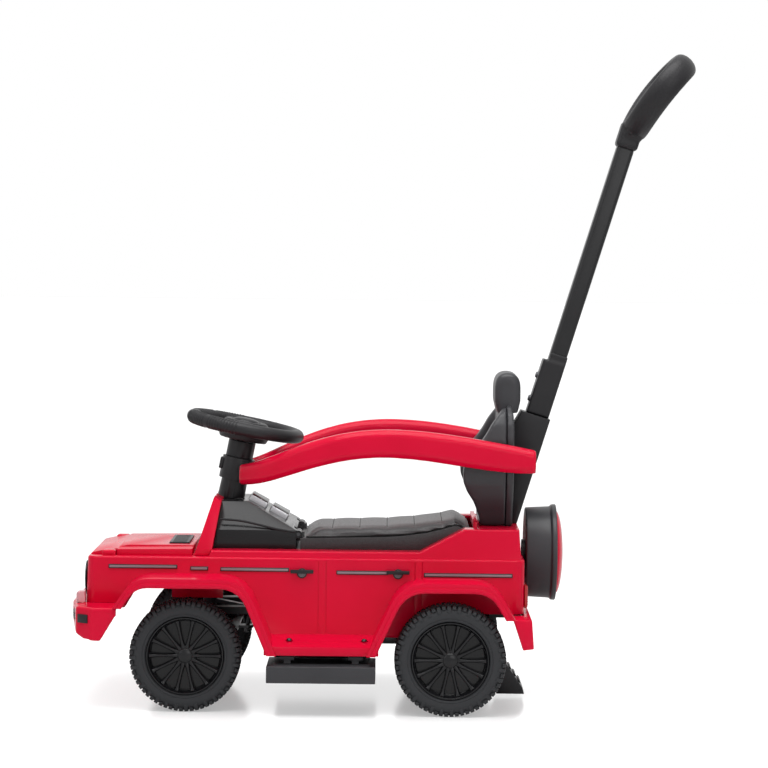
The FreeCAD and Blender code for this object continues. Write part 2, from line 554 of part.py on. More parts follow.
def cowl():
    """Windscreen cowl that leans back to the dash, with a shallow recess for its dark panel."""
    foot, head = "shoulder_height + part_gap", "dash_height + cowl_lip"
    wall = slab("cowl_wall", [
        ("cowl_x - cowl_foot", foot), ("cowl_x - upper_lean", foot), ("cowl_x", "belt_height + part_gap"),
        ("cowl_x + cowl_lean", "dash_height + sink"), ("cowl_x + 1", head)], "hood_width / 2")
    top = head + " + sink"
    lean = [("hood_width", "shoulder_height - upper_lean"), ("hood_width / 2", "belt_height"),
            ("cowl_top_width / 2", top), ("hood_width", top)]
    sides_off = prism("cowl_lean_cut", "x", [lean, [("-(%s)" % y, z) for y, z in lean]],
                      "cowl_x - 2 * cowl_foot", "cowl_x + 2 * cowl_foot")
    half = "column_foot_radius + column_gap"
    notch = box("cowl_notch", ("cowl_x - cowl_foot", "cowl_x + cowl_foot"), ("-(%s)" % half, half),
                ("dash_height - sink", top))

    def behind(z):
        slope = "(cowl_foot + 1) / (%s - (%s))" % (head, foot)
        return ("cowl_x - cowl_foot + glass_depth + (%s - (%s)) * %s" % (z, foot, slope), z)
    low, high = "belt_height + glass_margin", "dash_height - glass_margin"
    recess = slab("cowl_recess", [("cowl_x - 2 * cowl_foot", low), behind(low), behind(high),
                                  ("cowl_x - 2 * cowl_foot", high)], "glass_width / 2")
    keep(cut("windscreen_cowl", wall, sides_off, notch, recess))


def bumper():
    """Front bumper with swept ends, open behind, and the lamps that stand on its corners."""
    def plan(wall):
        edge, flat = "(bumper_width / 2 - %s)" % wall, "bumper_flat / 2"
        rear = "front_axle_x - bumper_end + 3 * %s" % wall
        half = [("bumper_x + %s" % wall, flat),
                ("bumper_x + bumper_sweep + %s" % wall, edge + " - bumper_turn"),
                ("bumper_x + bumper_corner", edge), (rear, edge)]
        return [(x, "-(%s)" % y) for x, y in half] + half[::-1]
    block = prism("bumper_block", "z", plan("0"), "bumper_bottom", "nose_height - part_gap")
    inside = prism("bumper_inside", "z", plan("bumper_wall"), "bumper_bottom - bumper_wall",
                   "nose_height - bumper_wall")
    under = "bumper_bottom - 2 * bumper_wall"
    chin = slab("bumper_chin", [
        ("bumper_x - bumper_wall", "bumper_bottom + chin_rise"),
        ("bumper_x + chin_run * 0.18", "bumper_bottom + chin_rise * 0.46"),
        ("bumper_x + chin_run * 0.55", "bumper_bottom + chin_rise * 0.08"),
        ("bumper_x + chin_run", "bumper_bottom - part_gap"), ("bumper_x + chin_run", under),
        ("bumper_x - bumper_wall", under)], "bumper_width")
    end = "front_axle_x - bumper_end"
    heel = slab("bumper_heel", [
        (end + " - heel_run", "bumper_bottom - part_gap"), (end + " - 1", "bumper_bottom + heel_rise"),
        (end + " + heel_run", "bumper_bottom + heel_rise"),
        (end + " + heel_run", "bumper_bottom - part_gap")],
        "bumper_width")
    intakes = [box("intake_" + side, ("bumper_x - 1", "bumper_x + intake_deep"), y,
                   ("bumper_bottom + intake_low", "bumper_bottom + intake_low + intake_tall"))
               for side, y in zip(SIDES, sides(("intake_offset", "intake_offset + intake_wide")))]
    keep(cut("front_bumper", block, inside, chin, heel, *intakes))
    back = "nose_x - part_gap"
    lamp = box("corner_lamp", (back + " - corner_lamp_long", back),
               ("-corner_lamp_offset - corner_lamp_width", "-corner_lamp_offset"),
               ("nose_height", "nose_height + corner_lamp_tall"))
    high = val("nose_height + corner_lamp_tall - 1")
    keep(both("bumper_lamps", rounded("corner_lamp_soft", lamp, (
        "corner_lamp_round", lambda b: b.ZMax > high and b.XMax < val("nose_x") - 1))))


def rear_end():
    """Rear bumper, tail lamps, spare wheel and anti-tip foot."""
    bar = slab("rear_bumper_bar", [
        ("rear_axle_x + rear_bumper_front", "tail_height"),
        ("rear_bumper_x - rear_bumper_lean", "tail_height"),
        ("rear_bumper_x", "rear_bumper_bottom + sink"),
        ("rear_axle_x + rear_bumper_heel", "rear_bumper_bottom")],
        "rear_bumper_width / 2")
    inside = box("rear_bumper_hollow", ("rear_axle_x", "tail_x - 1"),
                 ("-rear_bumper_inside / 2", "rear_bumper_inside / 2"), ("0", "tail_height + sink"))
    keep(cut("rear_bumper", bar, inside))
    low = "tail_height + tail_lamp_low"
    lamp = box("tail_lamp", ("tail_x + part_gap", "tail_x + tail_lamp_proud"),
               ("-tail_lamp_offset - tail_lamp_wide", "-tail_lamp_offset"), (low, low + " + tail_lamp_tall"))
    face = val("tail_x + tail_lamp_proud") - 1
    keep(both("tail_lamps", rounded("tail_lamp_soft", lamp, ("edge_round", lambda b: b.XMin > face))))
    back, lip = "tail_x + part_gap - spare_x", "spare_radius + spare_lip"
    floor, mouth = "spare_depth - cover_inset", "spare_radius - cover_inset"
    keep(revolve("spare_drum", [
        ("0", back), ("spare_boss", back), ("spare_boss", "0"), ("spare_radius - body_wall - 1", "0"),
        ("spare_radius - 1", "body_wall"), ("spare_radius", "spare_depth - spare_lip_width"),
        (lip, "spare_depth - spare_lip_width + 1"), (lip, "spare_depth"), (mouth, "spare_depth"),
        (mouth, floor),
        ("spare_radius - spare_wall", floor), ("spare_radius - spare_wall", "body_wall"), ("0", "body_wall")],
        spare_spot))
    edge = mouth + " - part_gap"
    keep(revolve("spare_cover", [
        ("0", floor + " + part_gap"), (edge, floor + " + part_gap"),
        (edge, "spare_depth + cover_dome * 0.19"),
        ("spare_radius * 0.79", "spare_depth + cover_dome * 0.62"),
        ("spare_radius * 0.58", "spare_depth + cover_dome * 0.86"), ("0", "spare_depth + cover_dome")],
        spare_spot))
    anti_tip_foot()


def anti_tip_foot():
    """Solid bracket under the tail with a sole just clear of the floor."""
    front, rear = "rear_axle_x + foot_front", "rear_axle_x + foot_reach"
    keep(slab("anti_tip_foot", [
        (front, "sill_height"), ("spine_end_x", "sill_height"),
        (rear + " - sink", "foot_clearance + foot_lip"), (rear, "foot_clearance"),
        (rear + " - foot_sole", "foot_clearance"),
        (rear + " - foot_sole - foot_lip", "foot_clearance + foot_wall + foot_lip")], "foot_width / 2"))


def spare_spot(body):
    """Stand a turned piece with its axis along X at the back of the car."""
    place(body, "spare_x", 0, "spare_height", (0, 1, 0), "90")


def revolve(label, points, put):
    """Turned piece: polygon of (radius, height) about its own Z axis, then put in place."""
    body = add("PartDesign::Body", label)
    plane = [f for f in body.Origin.OriginFeatures if f.Role == "XZ_Plane"][0]
    sketch = outline(label + "_section", [points])
    body.addObject(sketch)
    sketch.AttachmentSupport, sketch.MapMode = (plane, [""]), "FlatFace"
    turn = body.newObject("PartDesign::Revolution", label + "_turn")
    turn.Profile, turn.ReferenceAxis, turn.Angle = sketch, (sketch, ["V_Axis"]), 360
    body.Tip = turn
    put(body)
    return body


def group(label, parts):
    obj = add("Part::Compound", label)
    obj.Links = parts
    return obj


def side_fittings():
    """Trim strips along the sides and the door handles."""
    strips = []
    for i in range(5):
        top = "(trim_height - (trim_start_%d - trim_start_0) * trim_fall)" % i
        strips.append(box("strip_%d" % i, ("trim_start_%d" % i, "trim_end_%d" % i),
                          ("-door_y - trim_proud", "-door_y"), (top + " - trim_tall", top)))
    keep(both("trim_strips", group("strips_left", strips)))
    handles = []
    for x in ("door_handle_0", "door_handle_1"):
        bar = box("bar_" + x, (x + " - door_handle_length / 2", x + " + door_handle_length / 2"),
                  ("-door_y - door_handle_proud", "-door_y - door_handle_proud / 3"),
                  ("door_handle_height", "door_handle_height + door_handle_tall"))
        boss = rod("boss_" + x, "door_boss", "-door_y - door_handle_proud / 2", "-door_y",
                   (x, "door_handle_height"), "y")
        handles.append(fuse("handle_of_" + x, bar, boss))
    keep(both("door_handles", group("handles_left", handles)))


def chassis():
    """Floor pan with front rails, rear spine and axle hangers; front beam, rear axle and spacers."""
    floor_z = ("sill_height", "sill_height + pan_thick")
    spine_y, shelf = ("-spine_width / 2", "spine_width / 2"), "tail_height - 2 * body_wall"
    solids = [box("floor_pan", ("pan_front_x", "pan_rear_x"), ("-door_y + pan_inset", "door_y - pan_inset"),
                  floor_z),
              box("floor_wings", ("pan_front_x + pan_corner", "pan_rear_x - pan_corner"),
                  ("-sill_y + body_wall + part_gap", "sill_y - body_wall - part_gap"), floor_z),
              box("rear_spine", ("pan_rear_x - sink", "spine_end_x"), spine_y, floor_z),
              box("rear_upright", ("spine_end_x - pan_thick", "spine_end_x"), spine_y,
                  ("sill_height", shelf)),
              box("rear_shelf", ("spine_end_x - pan_thick", "tail_x - sink"), spine_y,
                  (shelf + " - pan_thick", shelf))]
    rail_top = "beam_top + rail_tall"
    for side, y in zip(SIDES, sides(("rail_offset", "rail_offset + rail_wide"))):
        solids += [box("front_rail_" + side, ("front_axle_x - rail_front", "pan_front_x + body_wall"), y,
                       ("beam_top", rail_top)),
                   box("rail_web_" + side, ("pan_front_x", "pan_front_x + body_wall"), y,
                       ("sill_height", rail_top))]
    for side, y in zip(SIDES, sides(("hanger_offset", "hanger_y"))):
        solids.append(box("hanger_" + side, ("rear_axle_x - hanger_half", "rear_axle_x + hanger_half"), y,
                          ("axle_z - hanger_half - 1", "sill_height + 1")))
    centre = ("rear_axle_x", "axle_z")
    bore = rod("axle_bore", "axle_r + close_fit", "-hanger_y - 10", "hanger_y + 10", centre, "y")
    keep(cut("chassis", fuse("chassis_solid", *solids), bore))
    keep(rod("rear_axle", "axle_r", "-rear_wheel_y - axle_reach", "rear_wheel_y + axle_reach", centre, "y"))
    tube = rod("spacer_tube", "axle_r + axle_collar", "-rear_wheel_y + rim_back + part_gap",
               "-hanger_y - part_gap", centre, "y")
    hole = rod("spacer_hole", "axle_r + sliding_fit", "-rear_wheel_y", "-hanger_offset", centre, "y")
    keep(both("axle_spacers", cut("spacer_left", tube, hole)))
    front_beam()


def front_beam():
    """Front axle beam that tapers to its kingpins, and the two kingpins."""
    end = "knuckle_radius"
    half = [("beam_half", "-kingpin_y + beam_taper"), (end, "-kingpin_y")]
    plan = [("front_axle_x + %s" % x, y) for x, y in half[::-1]]
    plan += [("front_axle_x + %s" % x, "-(%s)" % y) for x, y in half]
    plan += [("front_axle_x - %s" % x, "-(%s)" % y) for x, y in half[::-1]]
    plan += [("front_axle_x - %s" % x, y) for x, y in half]
    low = "axle_z + beam_low"
    solids, holes = [prism("beam_bar", "z", plan, low, "beam_top")], []
    for side, y in zip(SIDES, ("-kingpin_y", "kingpin_y")):
        spot = ("front_axle_x", y)
        solids.append(rod("beam_end_" + side, end, low, "beam_top", spot))
        holes.append(rod("beam_hole_" + side, "kingpin_r + close_fit", "axle_z", "beam_top + sink", spot))
    keep(cut("front_axle_beam", fuse("beam_solid", *solids), *holes))
    spot, foot = ("front_axle_x", "-kingpin_y"), "axle_z - knuckle_low - part_gap"
    pin = fuse("kingpin_left",
               rod("kingpin_shank", "kingpin_r", foot + " - 1", "beam_top + sink", spot),
               rod("kingpin_foot", "kingpin_head", foot + " - kingpin_head_thick", foot, spot),
               rod("kingpin_cap", "kingpin_head", "beam_top + part_gap",
                   "beam_top + part_gap + kingpin_head_thick", spot))
    keep(both("kingpins", pin))


def steering():
    """Knuckles, tie rod, steering shaft with crank, column, collar, wheel and horn button."""
    spot, eye_spot = ("front_axle_x", "-kingpin_y"), ("pivot_x", "-kingpin_y")
    centre = ("front_axle_x", "axle_z")
    lever_top = "lever_z + lever_thick"
    solids = [rod("knuckle_post", "knuckle_radius", "axle_z - knuckle_low",
                  "axle_z + beam_low - part_gap", spot),
              rod("knuckle_stub", "axle_r", "-front_wheel_y - axle_reach", "-kingpin_y", centre, "y"),
              rod("knuckle_collar", "axle_r + axle_collar", "-front_wheel_y + rim_back + part_gap",
                  "-kingpin_y", centre, "y"),
              box("knuckle_lever", ("front_axle_x", "pivot_x"),
                  ("-kingpin_y - lever_half", "-kingpin_y + lever_half"), ("lever_z", lever_top)),
              rod("knuckle_eye", "eye_radius", "lever_z", lever_top, eye_spot)]
    bore = rod("knuckle_bore", "kingpin_r + running_fit", "axle_z - 2 * knuckle_low", "beam_top", spot)
    hole = rod("knuckle_hole", "tie_pin + running_fit", "axle_z", "beam_top", eye_spot)
    left = keep(cut("left_knuckle", fuse("knuckle_solid", *solids), bore, hole))
    keep(mirror("right_knuckle", left))
    tie_z = ("tie_low", "tie_high")
    crank_x = "column_x + steering_arm / cos(column_tilt) - (dash_height - tie_middle) * tan(column_tilt)"
    bar = [box("tie_bar", ("pivot_x - tie_half", "pivot_x + tie_half"), ("-kingpin_y", "kingpin_y"), tie_z),
           box("tie_tab_bar", ("pivot_x", crank_x), ("-tie_tab", "tie_tab"), tie_z),
           rod("tie_tab_end", "tie_tab", *tie_z, (crank_x, "0"))]
    for side, y in zip(SIDES, ("-kingpin_y", "kingpin_y")):
        bar += [rod("tie_end_" + side, "tie_half + 1", *tie_z, ("pivot_x", y)),
                rod("tie_pin_" + side, "tie_pin", "lever_z - sink", "tie_high + sink", ("pivot_x", y))]
    slot = rod("tie_slot_hole", "tie_slot", "axle_z", "beam_top", (crank_x, "0"))
    keep(cut("tie_rod", fuse("tie_solid", *bar), slot))
    lean = ("wheel_x", "wheel_height", "column_tilt")
    drop, half = "-crank_drop", "crank_thick / 2"
    plate = ("%s - %s" % (drop, half), "%s + %s" % (drop, half))
    parts = [tilted_rod("shaft_bar", lean, "shaft_diameter / 2", drop + " - 5", "-wheel_spoke_low"),
             tilted_rod("crank_hub_rod", lean, "crank_hub", drop + " - 5", drop + " + 8"),
             tilted_box("crank_lever", lean, ("0", "steering_arm"), ("-crank_half", "crank_half"), plate),
             tilted_rod("crank_eye", lean, "crank_half", *plate, across="steering_arm"),
             tilted_rod("crank_pin_rod", lean, "crank_pin", drop + " - crank_reach", plate[1],
                        across="steering_arm")]
    keep(fuse("steering_shaft", *parts))
    column(lean)
    wheel_frame(lean)


def column(lean):
    """Column that narrows upwards from the dash, and the collar round it that carries the guard rails."""
    top, neck = "-collar_drop", "-collar_drop - body_wall"
    solids = [tilted_rod("column_cone", lean, "column_foot_radius", "-column_foot", neck, "column_radius"),
              tilted_rod("column_neck", lean, "column_radius", neck, top),
              tilted_rod("column_cap", lean, "column_foot_radius", top, "-hub_low - sink")]
    bore = tilted_rod("column_bore", lean, "shaft_diameter / 2 + sliding_fit", "-column_foot - 20", "0")
    reach = "2 * collar_width"
    below = box("column_below", ("column_x - " + reach, "column_x + " + reach),
                ("-collar_width", "collar_width"), ("dash_height - " + reach, "dash_height + part_gap"))
    keep(cut("column_housing", fuse("column_solid", *solids), bore, below))
    ring = tilted_rod("collar_ring", lean, "column_foot_radius + collar_wall", "-collar_drop - collar_tall",
                      "-collar_drop - part_gap")
    ears = box("collar_ears", ("column_x + collar_ear", "column_x + collar_ear + collar_ear_long"),
               ("-collar_width / 2", "collar_width / 2"),
               ("dash_height + collar_low + body_wall", "collar_top - body_wall"))
    seat = tilted_rod("collar_seat", lean, "column_foot_radius + part_gap", "-column_foot", neck,
                      "column_radius + part_gap")
    keep(cut("armrest_collar", fuse("collar_solid", ring, ears), seat,
             tilted_rod("collar_seat_top", lean, "column_radius + part_gap", neck, top + " + sink")))


def wheel_frame(lean):
    """Steering wheel: ring, three spokes and hub, with a sprung horn button in the middle."""
    ring = add("Part::Torus", "wheel_ring", Radius1="wheel_rim_radius", Radius2="wheel_rim_thick / 2")
    place(ring, "wheel_x", 0, "wheel_height", (0, 1, 0), "column_tilt")
    hub = [tilted_rod("hub_lower", lean, "hub_foot", "-hub_low", "-hub_split", "hub_middle"),
           tilted_rod("hub_upper", lean, "hub_middle", "-hub_split", "hub_split", "hub_top")]
    half, thick = ("-wheel_spoke / 2", "wheel_spoke / 2"), ("-wheel_spoke_low", "wheel_spoke_high")
    spokes = [tilted_box("spoke_across", lean, half, ("-wheel_rim_radius", "wheel_rim_radius"), thick),
              tilted_box("spoke_rear", lean, ("0", "wheel_rim_radius"), half, thick)]
    well = tilted_rod("horn_seat", lean, "horn_radius + horn_gap", "horn_well", "horn_high + hub_split")
    bore = tilted_rod("wheel_bore", lean, "shaft_diameter / 2 + press_fit", "-hub_low - 10",
                      "-wheel_spoke_low")
    keep(cut("steering_wheel", fuse("wheel_solid", ring, *hub, *spokes), well, bore))
    keep(tilted_rod("horn_button", lean, "horn_radius", "horn_low", "horn_high", "horn_top"))


def wheels():
    """Four road wheels, each a tyre on a dished rim with a ring of spokes."""
    r, rim, w = "tyre_diameter / 2", "rim_diameter / 2", "tyre_width / 2"
    bead, crown = rim + " + part_gap", r + " - tread_thick"
    side = [(bead, w + " - tyre_wall"), (bead, w + " - bead_round"), (rim + " + 2 * bead_round", w),
            (r + " - tyre_shoulder", w), (r + " - tread_round", w + " - 2 * tread_round"),
            (r, w + " - tyre_shoulder")]
    tyre = side + [(a, "-(%s)" % b) for a, b in side[::-1]]
    tyre += [(crown, "-(%s) + tyre_wall" % w), (crown, w + " - tyre_wall")]
    bore, floor, inner = "axle_r + running_fit", "-axle_reach - part_gap", rim + " - rim_lip"
    web = "rim_back - body_wall"
    section = [("0", "-hub_face + 1"), ("hub_radius", "-hub_face"), ("hub_radius", "-dish_depth - sink"),
               (inner + " - sink", "-dish_depth"), (inner, "-rim_face"), (rim, "-rim_face"),
               (rim, "rim_back"), (inner, "rim_back"), (inner + " - sink", web),
               ("axle_r + axle_collar + sink", web),
               ("axle_r + axle_collar + sink", "rim_back"), (bore, "rim_back"), (bore, floor), ("0", floor)]
    waist = "spoke_start + hub_radius"
    blade = [("spoke_start", "spoke_root / 2"), (waist, "spoke_waist / 2"), (inner + " - 1", "spoke_tip / 2")]
    blade = [(a, "-(%s)" % b) for a, b in blade] + blade[::-1]
    for end, x, track in (("front", "front_axle_x", "front_wheel_y"),
                          ("rear", "rear_axle_x", "rear_wheel_y")):
        for hand, y, turn in zip(SIDES, ("-" + track, track), ("-90", "90")):
            def put(body):
                # the hub axis lies across the car with the dished face outwards
                place(body, x, y, "axle_z", (1, 0, 0), turn)
            name = "%s_%s_" % (end, hand)
            keep(revolve(name + "tyre", tyre, put))
            keep(spoked(revolve(name + "rim", section, put), blade))


def spoked(rim, blade):
    """A rim with its ring of spokes."""
    sketch = outline(rim.Label + "_spoke_outline", [blade])
    rim.addObject(sketch)
    plane = [f for f in rim.Origin.OriginFeatures if f.Role == "XY_Plane"][0]
    sketch.AttachmentSupport, sketch.MapMode = (plane, [""]), "FlatFace"
    sketch.setExpression("AttachmentOffset.Base.z", fx("-spoke_face"))
    spoke = rim.newObject("PartDesign::Pad", rim.Label + "_spoke")
    spoke.Profile = sketch
    bind(spoke, Length="spoke_deep")
    ring = rim.newObject("PartDesign::PolarPattern", rim.Label + "_spokes")
    ring.Originals = [spoke]
    ring.Axis = (rim.Origin.OriginFeatures[2], [""])
    ring.Angle = 360
    bind(ring, Occurrences="spoke_count")
    rim.Tip = ring
    return rim


def interior():
    """Dash with two push buttons, storage tub, hinged seat with cushion, sound box."""
    dash()
    seat()
    flange = box("tub_rim", ("tub_front_x - tub_front_lip", "seat_rear_x + sink"),
                 ("-opening_y - tub_flange", "opening_y + tub_flange"),
                 ("deck_under - body_wall", "deck_under"))
    bowl = box("tub_bowl", ("tub_front_x - tub_wall", "tub_rear_x + tub_wall"),
               ("-tub_y - tub_wall", "tub_y + tub_wall"), ("tub_floor - tub_wall", "deck_under - sink"))
    hollow = box("tub_hollow", ("tub_front_x", "tub_rear_x"), ("-tub_y", "tub_y"),
                 ("tub_floor", "deck_under + sink"))
    keep(cut("storage_tub", fuse("tub_solid", flange, bowl), hollow))
    top = "deck_under - body_wall - part_gap"
    keep(box("sound_box", ("column_x + 6", "column_x + 6 + sound_box_long"),
             ("-sound_box_width / 2", "sound_box_width / 2"), (top + " - sound_box_tall", top)))


HINGE = ("hinge_x", "hinge_height")


def dash():
    """Hollow dash that slopes down to the seat, with its buttons and hinge lugs."""
    top, rear, base = "dash_height", "dash_rear_x", "dash_base"
    corner, wall = "dash_rear_x - dash_chamfer", "dash_wall"
    outer = slab("dash_outer", [
        ("dash_front_x", base), ("dash_front_x", "belt_height + 2 * part_gap"),
        ("dash_front_x + dash_nose", top), ("dash_top_x", top), (corner, "dash_low"),
        (rear, "dash_low - dash_wall"), (rear, base)], "seat_y")
    shoulder = "belt_height + dash_shoulder"
    lean = [("seat_y + 5", shoulder + " - dash_chamfer"), ("seat_y", shoulder),
            ("seat_y - dash_lean", top + " + dash_wall"), ("seat_y + 5", top + " + dash_wall")]
    lean_off = prism("dash_sides", "x", [lean, [("-(%s)" % y, z) for y, z in lean]],
                     "dash_front_x - 20", rear + " + 20")
    inner = slab("dash_inner", [
        ("dash_front_x - sink", "0"), ("dash_front_x - sink", "belt_height + dash_chamfer"),
        ("dash_front_x + dash_chamfer", top + " - dash_wall"), ("dash_top_x - 1", top + " - dash_wall"),
        (corner + " - sink", "dash_low - dash_wall"), (rear + " - dash_wall", "dash_low - 2 * dash_wall"),
        (rear + " - dash_wall", "0")], "seat_y - dash_lean - dash_chamfer")
    brow = shoulder + " - 2 * dash_wall"
    low = slab("dash_inner_low", [("dash_front_x - sink", "0"), ("dash_front_x - sink", brow),
                                  (rear + " - dash_wall", brow), (rear + " - dash_wall", "0")],
               "seat_y - dash_wall")
    hole = tilted_rod("dash_shaft_hole", ("wheel_x", "wheel_height", "column_tilt"),
                      "shaft_diameter / 2 + shaft_hole_gap", "-column_foot - 40", "-column_foot + 20")
    face = ("dash_top_x", top, "atan((%s - dash_low) / (%s - dash_top_x))" % (top, corner))
    second = "button_long + button_gap - 1"
    buttons = dict(upper=("-1", "button_long - 1"), lower=(second, second + " + button_long"))
    half = "button_width / 2"
    wells = [tilted_box(n + "_well", face, (a + " - button_fit", b + " + button_fit"),
                        ("-%s - button_fit" % half, half + " + button_fit"), ("-20", "20"))
             for n, (a, b) in buttons.items()]
    reliefs = [box("dash_relief_" + side, (rear + " - dash_wall + 0.5", rear + " + 1"), y,
                   ("hinge_height - hinge_radius - 3.5", "hinge_height + hinge_radius + 3.5"))
               for side, y in zip(SIDES, sides(("lug_offset - 1", "lug_y")))]
    lugs = []
    for side, y in zip(SIDES, sides(("dash_lug_y", "dash_lug_y + dash_lug_wide"))):
        lugs += [rod("dash_lug_" + side, "hinge_radius", *y, HINGE, "y"),
                 box("dash_lug_web_" + side, (rear + " - dash_wall", "hinge_x"), y,
                     ("hinge_height - hinge_radius", "hinge_height + hinge_radius"))]
    shell = cut("dash_shell", outer, lean_off, inner, low, hole, *wells, *reliefs)
    pin_hole = rod("dash_pin_hole", "hinge_pin / 2 + press_fit", "-seat_y", "seat_y", HINGE, "y")
    keep(cut("dash_console", fuse("dash_solid", shell, *lugs), pin_hole))
    for name, (a, b) in buttons.items():
        keep(tilted_box(name + "_button", face, (a, b), ("-" + half, half), ("-button_deep", "button_proud")))
    keep(both("hinge_pins", rod("hinge_pin_left", "hinge_pin / 2", "-dash_lug_y - dash_lug_wide",
                                "-lug_offset", HINGE, "y")))


# Rise of the seat's shoulder line and height of its crown at even steps from front to rear.
SEAT_RISE = (0, .02, .04, .06, .09, .12, .15, .22, .33, .48, .72, 1, .7)
SEAT_CROWN = (.35, .95, .9, 1, .93, 1, .93, 1, .9, .9, .7, .6, .2)


def seat_stations():
    """Places along the seat as (x, shoulder height, crown height) in size words."""
    steps = len(SEAT_RISE) - 1
    run = "(seat_rear_x - seat_front_x - cushion_inset - sink)"
    return [("seat_front_x + cushion_inset + %s * %d / %d" % (run, i, steps),
             "seat_shoulder + seat_kick * %s" % SEAT_RISE[i], "cushion_crown * %s" % SEAT_CROWN[i])
            for i in range(steps + 1)]


def seat():
    """Hollow seat lid hinged at its front edge, and the quilted cushion on top of it."""
    front, rear, base = "seat_front_x", "seat_rear_x", "dash_base"
    top = [(x, z) for x, z, crown in seat_stations()]
    outer = slab("seat_outer", [(front, base), (front, top[0][1]), *top, (rear, top[-1][1] + " - seat_wall"),
                                (rear + " - seat_tuck", base)], "seat_y")
    length = "(seat_rear_x - seat_front_x)"
    inner = slab("seat_inner", [
        (front + " + seat_wall", "0"), (front + " + seat_wall", "seat_shoulder - seat_wall"),
        ("%s + %s * 0.625" % (front, length), "seat_shoulder - 1"),
        ("%s + %s * 0.875" % (front, length), "seat_shoulder + seat_kick * 0.4"),
        (rear + " - seat_wall - seat_tuck", "seat_shoulder + seat_kick * 0.3"),
        (rear + " - seat_wall - seat_tuck", "0")], "seat_y - seat_wall")
    swing = "hinge_radius + 0.8"
    notches = [box("seat_notch_" + side, (front + " - 1", "hinge_x + " + swing), y,
                   ("hinge_height - (%s)" % swing, "hinge_height + hinge_radius + 3.5"))
               for side, y in zip(SIDES, sides(("lug_y + part_gap", "dash_lug_y + dash_lug_wide + lug_gap")))]
    lugs = []
    for side, y in zip(SIDES, sides(("lug_offset", "lug_y"))):
        lugs += [rod("seat_lug_" + side, "hinge_radius", *y, HINGE, "y"),
                 box("seat_lug_web_" + side, ("hinge_x - hinge_radius * 0.4", front + " + seat_wall + 1"), y,
                     ("hinge_height - hinge_radius - 5", "hinge_height + hinge_radius * 0.4"))]
    pin_hole = rod("seat_pin_hole", "hinge_pin / 2 + running_fit", "-seat_y", "seat_y", HINGE, "y")
    keep(cut("seat_lid", fuse("seat_solid", cut("seat_shell", outer, inner, *notches), *lugs), pin_hole))
    sections = []
    half = [("cushion_inset", "0"), ("sink", "0.4"), ("seat_width * 0.05", "0.78"),
            ("seat_width * 0.19", "0.95")]
    for i, (x, z, crown) in enumerate(seat_stations()):
        ring = [("seat_y - " + inset, "part_gap + (%s) * %s" % (crown, k)) for inset, k in half]
        ring += [("0", "part_gap + " + crown)] + [("-(%s)" % y, k) for y, k in reversed(ring)]
        sections.append(station("cushion_section_%d" % i, ring, x, "0", z))
    pad = add("Part::Loft", "seat_cushion")
    pad.Sections, pad.Solid, pad.Ruled = sections, True, True
    keep(pad)


def station(label, ring, x, y, z):
    """Cross-section standing across the car at a point."""
    sketch = outline(label, [ring])
    sketch.Placement = FreeCAD.Placement(V(), FreeCAD.Rotation(V(*FACING["x"][0]), FACING["x"][1]))
    bind(sketch, Placement__Base__x=x, Placement__Base__y=y, Placement__Base__z=z)
    return sketch


# Side profile of the seat back as (share of depth, share of height), from its foot to its crest.
BACK_PROFILE = ((.6, 0), (.64, .1), (.74, .2), (.9, .29), (.99, .37), (1, .46), (.95, .54), (.8, .62),
                (.62, .69), (.48, .76), (.34, .85), (.2, .92), (.08, .97), (0, .985))
# Side edge of the seat back seen from the front as (share of the waist inset, share of height).
BACK_EDGE = ((1, -.006), (.75, .12), (.4, .24), (.1, .36), (0, .45), (0, .72), (.12, .84), (.4, .93),
             (.9, .99), (1.4, 1.012))
# Rear half of the seat back as (share of its depth, share of height), over the crest and down.
BACK_CREST = ((0, .985), (.35, 1), (.7, .985), (.92, .93), (1, .85), (1, 0))


